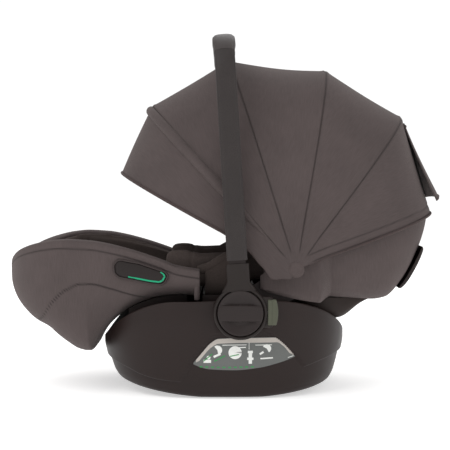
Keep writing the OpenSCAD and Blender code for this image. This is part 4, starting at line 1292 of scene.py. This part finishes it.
def flap_grid(start, stop, half0, half1, d0, d1, n=40, m=61, rise=1.0):
    """Patch over the middle of the rear canopy from direction start to stop, between half
    widths half0 and half1, lifted off it by d0 to d1."""
    t = np.linspace(0, 1, n)[:, None]
    turn = start + (stop - start) * t
    share = (turn - hood_rear[0]) / (rear_bow[0] - hood_rear[0])
    swing = math.radians(rear_bow[0] - hood_rear[0])
    reach = (hood_rear[1] * rear_bow[1] * math.sin(swing)
             / (hood_rear[1] * np.sin(share * swing) + rear_bow[1] * np.sin((1 - share) * swing)))
    wide = hood_rear[2] + (rear_bow[2] - hood_rear[2]) * ease(share) + 3
    v = (half0 + (half1 - half0) * t) * np.linspace(-1, 1, m)[None]
    u = reach * (0.25 + 0.75 * arch(v / wide, 2.6)) + d0 + (d1 - d0) * t ** rise
    a = np.radians(turn)
    return np.stack([pivot_x + u * np.cos(a), v, pivot_z + u * np.sin(a)], -1)


net, tree, _ = finish("black_mesh_net")
cut = add(tree, "ShaderNodeUVMap", {}, uv_map="cut").outputs[0]
hole = add(tree, "ShaderNodeTexVoronoi", {"Vector": cut, "Scale": 1 / (2.4 * MM), "Randomness": 0.0})
wire = span(tree, hole.outputs["Distance"], 0.25, 0.5)
share = maths(tree, "MULTIPLY", wire, noise(tree, cut, 20.0, 2.0))
put(tree, tree.nodes["Principled BSDF"], {
    "Base Color": between(tree, share, tint("#0c0a0a"), tint("#4a4444")),
    "Roughness": 0.75,
    "Normal": relief(tree, wire, 0.3)})
window = shell("rear_window_net", *[flap_grid(46, 27, 50, 66, d, d) for d in (1.5, 0.6)])
dress(window, net, "back", "window_mesh", "rear_mesh")
flap_place = (51, 24, 62, 88)    # directions of its top and bottom edge, and their half widths
flap = shell("window_flap_cloth", flap_grid(*flap_place, 2.9, 21.6, rise=1.15),
             flap_grid(*flap_place, 0.9, 19.4, rise=1.15), sharp=70)
dress(flap, hood_cloth, "flap", "outer_fabric", "rear_flap")
hem = []
edges = flap_grid(*flap_place, 3.1, 21.8, rise=1.15)
for row in (edges[-2], edges[1]):
    out = unit(row - [pivot_x, 0, pivot_z])
    across = unit(np.cross(np.gradient(row, axis=0), out))
    r = np.full(61, 1.5)
    r[[0, -1]] = 0.1
    hem.append(tube("hem", row, out[:, None], across[:, None], r, row[:, 1], 1.5, 10))
dress(join("flap_edge_piping", *hem), piping_cloth, "flap", "outer_fabric")
tab_cloth = woven("grey_tab_ribbon", "#a49b95", pitch=1.3, depth=0.12, rough=0.7, sheen=0.05)
tab = shell("plain_tab", *[flap_grid(36, 25.5, 14, 14, d, d, 24, 12) for d in (2.3, 1.7)])
dress(tab, tab_cloth, "back", "outer_fabric")

# ---- rear guide ----
# A moulded channel low on the head end's back takes the car's shoulder belt, and holds the
# recline lever in its middle recess.

s = np.linspace(0, 1, 40)[:, None]
v = np.linspace(-1, 1, 81)[None]
x = 286 + 39 * s
wall_z = pchip(x, back_lows)
off = 0.2 + 6.2 * arch(2 * s - 1, 3) * arch(v, 8)
off = off - 3.2 * ease((0.49 - np.abs(v)) / 0.02) * ease((0.46 - np.abs(s - 0.5)) / 0.06)
faces = [np.stack(np.broadcast_arrays(x + k * 0.87, 97 * v, wall_z - k * 0.5), -1)
         for k in (off, off * 0 - 0.6)]
guide = shell("rear_belt_channel", *faces, sharp=50)
dress(guide, shell_plastic, "back", "shell_plastic", "rear_guide")

# ---- frame parts that show as they were made ----
# The remaining parts keep their own shape: plated steel pins and bars, nylon bows, painted plates
# and small mouldings, each finished as its real material is. The steel keeps fine drawing marks.

zinc, tree, place = finish("zinc_plated_steel")
drawn = add(tree, "ShaderNodeMapping", {"Vector": place, "Scale": (1, 0.05, 1)}).outputs[0]
slow = noise(tree, place, 30.0, 3.0)
marks = maths(tree, "ADD", noise(tree, drawn, 1 / (0.35 * MM), 3.0), slow)
put(tree, tree.nodes["Principled BSDF"], {
    "Base Color": between(tree, slow, shade("#b9bcc0", 0.85), tint("#b9bcc0")),
    "Roughness": span(tree, marks, 0.7, 1.3, 0.24, 0.44),
    "Metallic": 1.0})
painted = moulded("black_powder_coat", "#2c2524", rough=0.5, grain=0.8, depth=0.06)
bow_plastic = moulded("nylon_bow_strip", "#3a3331", rough=0.48)
red = moulded("buckle_red_moulding", "#9a2620", rough=0.36, grain=1.2)
black = moulded("glass_filled_nylon", "#232021", rough=0.42)
button_grey = moulded("adjuster_grey_moulding", "#4a4a4c", rough=0.4)
finishes = {
    zinc: ("anchor_bars", "hub_pins", "pan_screws", "canopy_pins", "button_springs", "buckle_tongues"),
    painted: ("side_plates", "handle_core"),
    bow_plastic: ("bow_rear", "bow_back", "bow_middle", "bow_front", "visor_bow"),
    shell_plastic: ("adapter_sockets", "seat_pan", "leg_shell", "back_shell", "headrest_shell",
                    "leg_runners", "recline_lever"),
    black: ("buckle", "adjuster_housing"),
    red: ("buckle_button",),
    button_grey: ("adjuster_button",),
}
for made, names in finishes.items():
    for node in [frame["nodes"][name] for name in names]:
        if not node.material_slots:
            node.data.materials.append(made)
        for place in node.material_slots:
            place.material = made

# ---- floor, light and camera ----
# A plain pale floor under soft studio light, and a long lens level with the seat's middle.

bpy.ops.mesh.primitive_plane_add(size=40, location=(0, 0, 0))
floor = bpy.context.object
floor.name = "studio_floor"
sweep = bpy.data.materials.new("pale_floor")
sweep.use_nodes = True
put(sweep.node_tree, sweep.node_tree.nodes["Principled BSDF"], {
    "Base Color": (0.93, 0.925, 0.92, 1),
    "Roughness": 0.9,
    "Specular IOR Level": 0.1,
    "Emission Color": (1, 1, 1, 1),
    "Emission Strength": 0.5})
floor.data.materials.append(sweep)

world = bpy.data.worlds.new("studio")
world.use_nodes = True
# the room is dimmer than the white cove that is seen behind the seat
tree = world.node_tree
path = add(tree, "ShaderNodeLightPath", {})
put(tree, tree.nodes["Background"], {
    "Color": (1, 1, 1, 1),
    "Strength": span(tree, path.outputs["Is Camera Ray"], 0, 1, 0.62, 1.05)})
bpy.context.scene.world = world


def soft_light(name, place, aim, size, power):
    """Large square lamp at place, turned towards aim."""
    data = bpy.data.lights.new(name, "AREA")
    data.size = size
    data.energy = power
    lamp = placed(name, data)
    lamp.location = place
    d = np.array(aim) - np.array(place)
    lamp.rotation_euler = (math.acos(-d[2] / np.linalg.norm(d)), 0, math.atan2(d[1], d[0]) - math.pi / 2)


soft_light("key", (-1.5, -1.8, 2.6), (0, 0, 0.25), 1.8, 34)
soft_light("fill", (2.4, -1.8, 1.2), (0, 0, 0.25), 1.8, 10)
soft_light("back", (0.4, 1.8, 2.6), (0, 0, 0.3), 2.0, 26)
bpy.context.scene.view_settings.view_transform = "Standard"

lens = bpy.data.cameras.new("camera")
lens.lens = 97.7
lens.sensor_width = 36
camera = placed("camera", lens)
camera.location = (0, -2.10, 0.361)
camera.rotation_euler = (math.radians(90 - 2.486), 0, 0)
bpy.context.scene.camera = camera
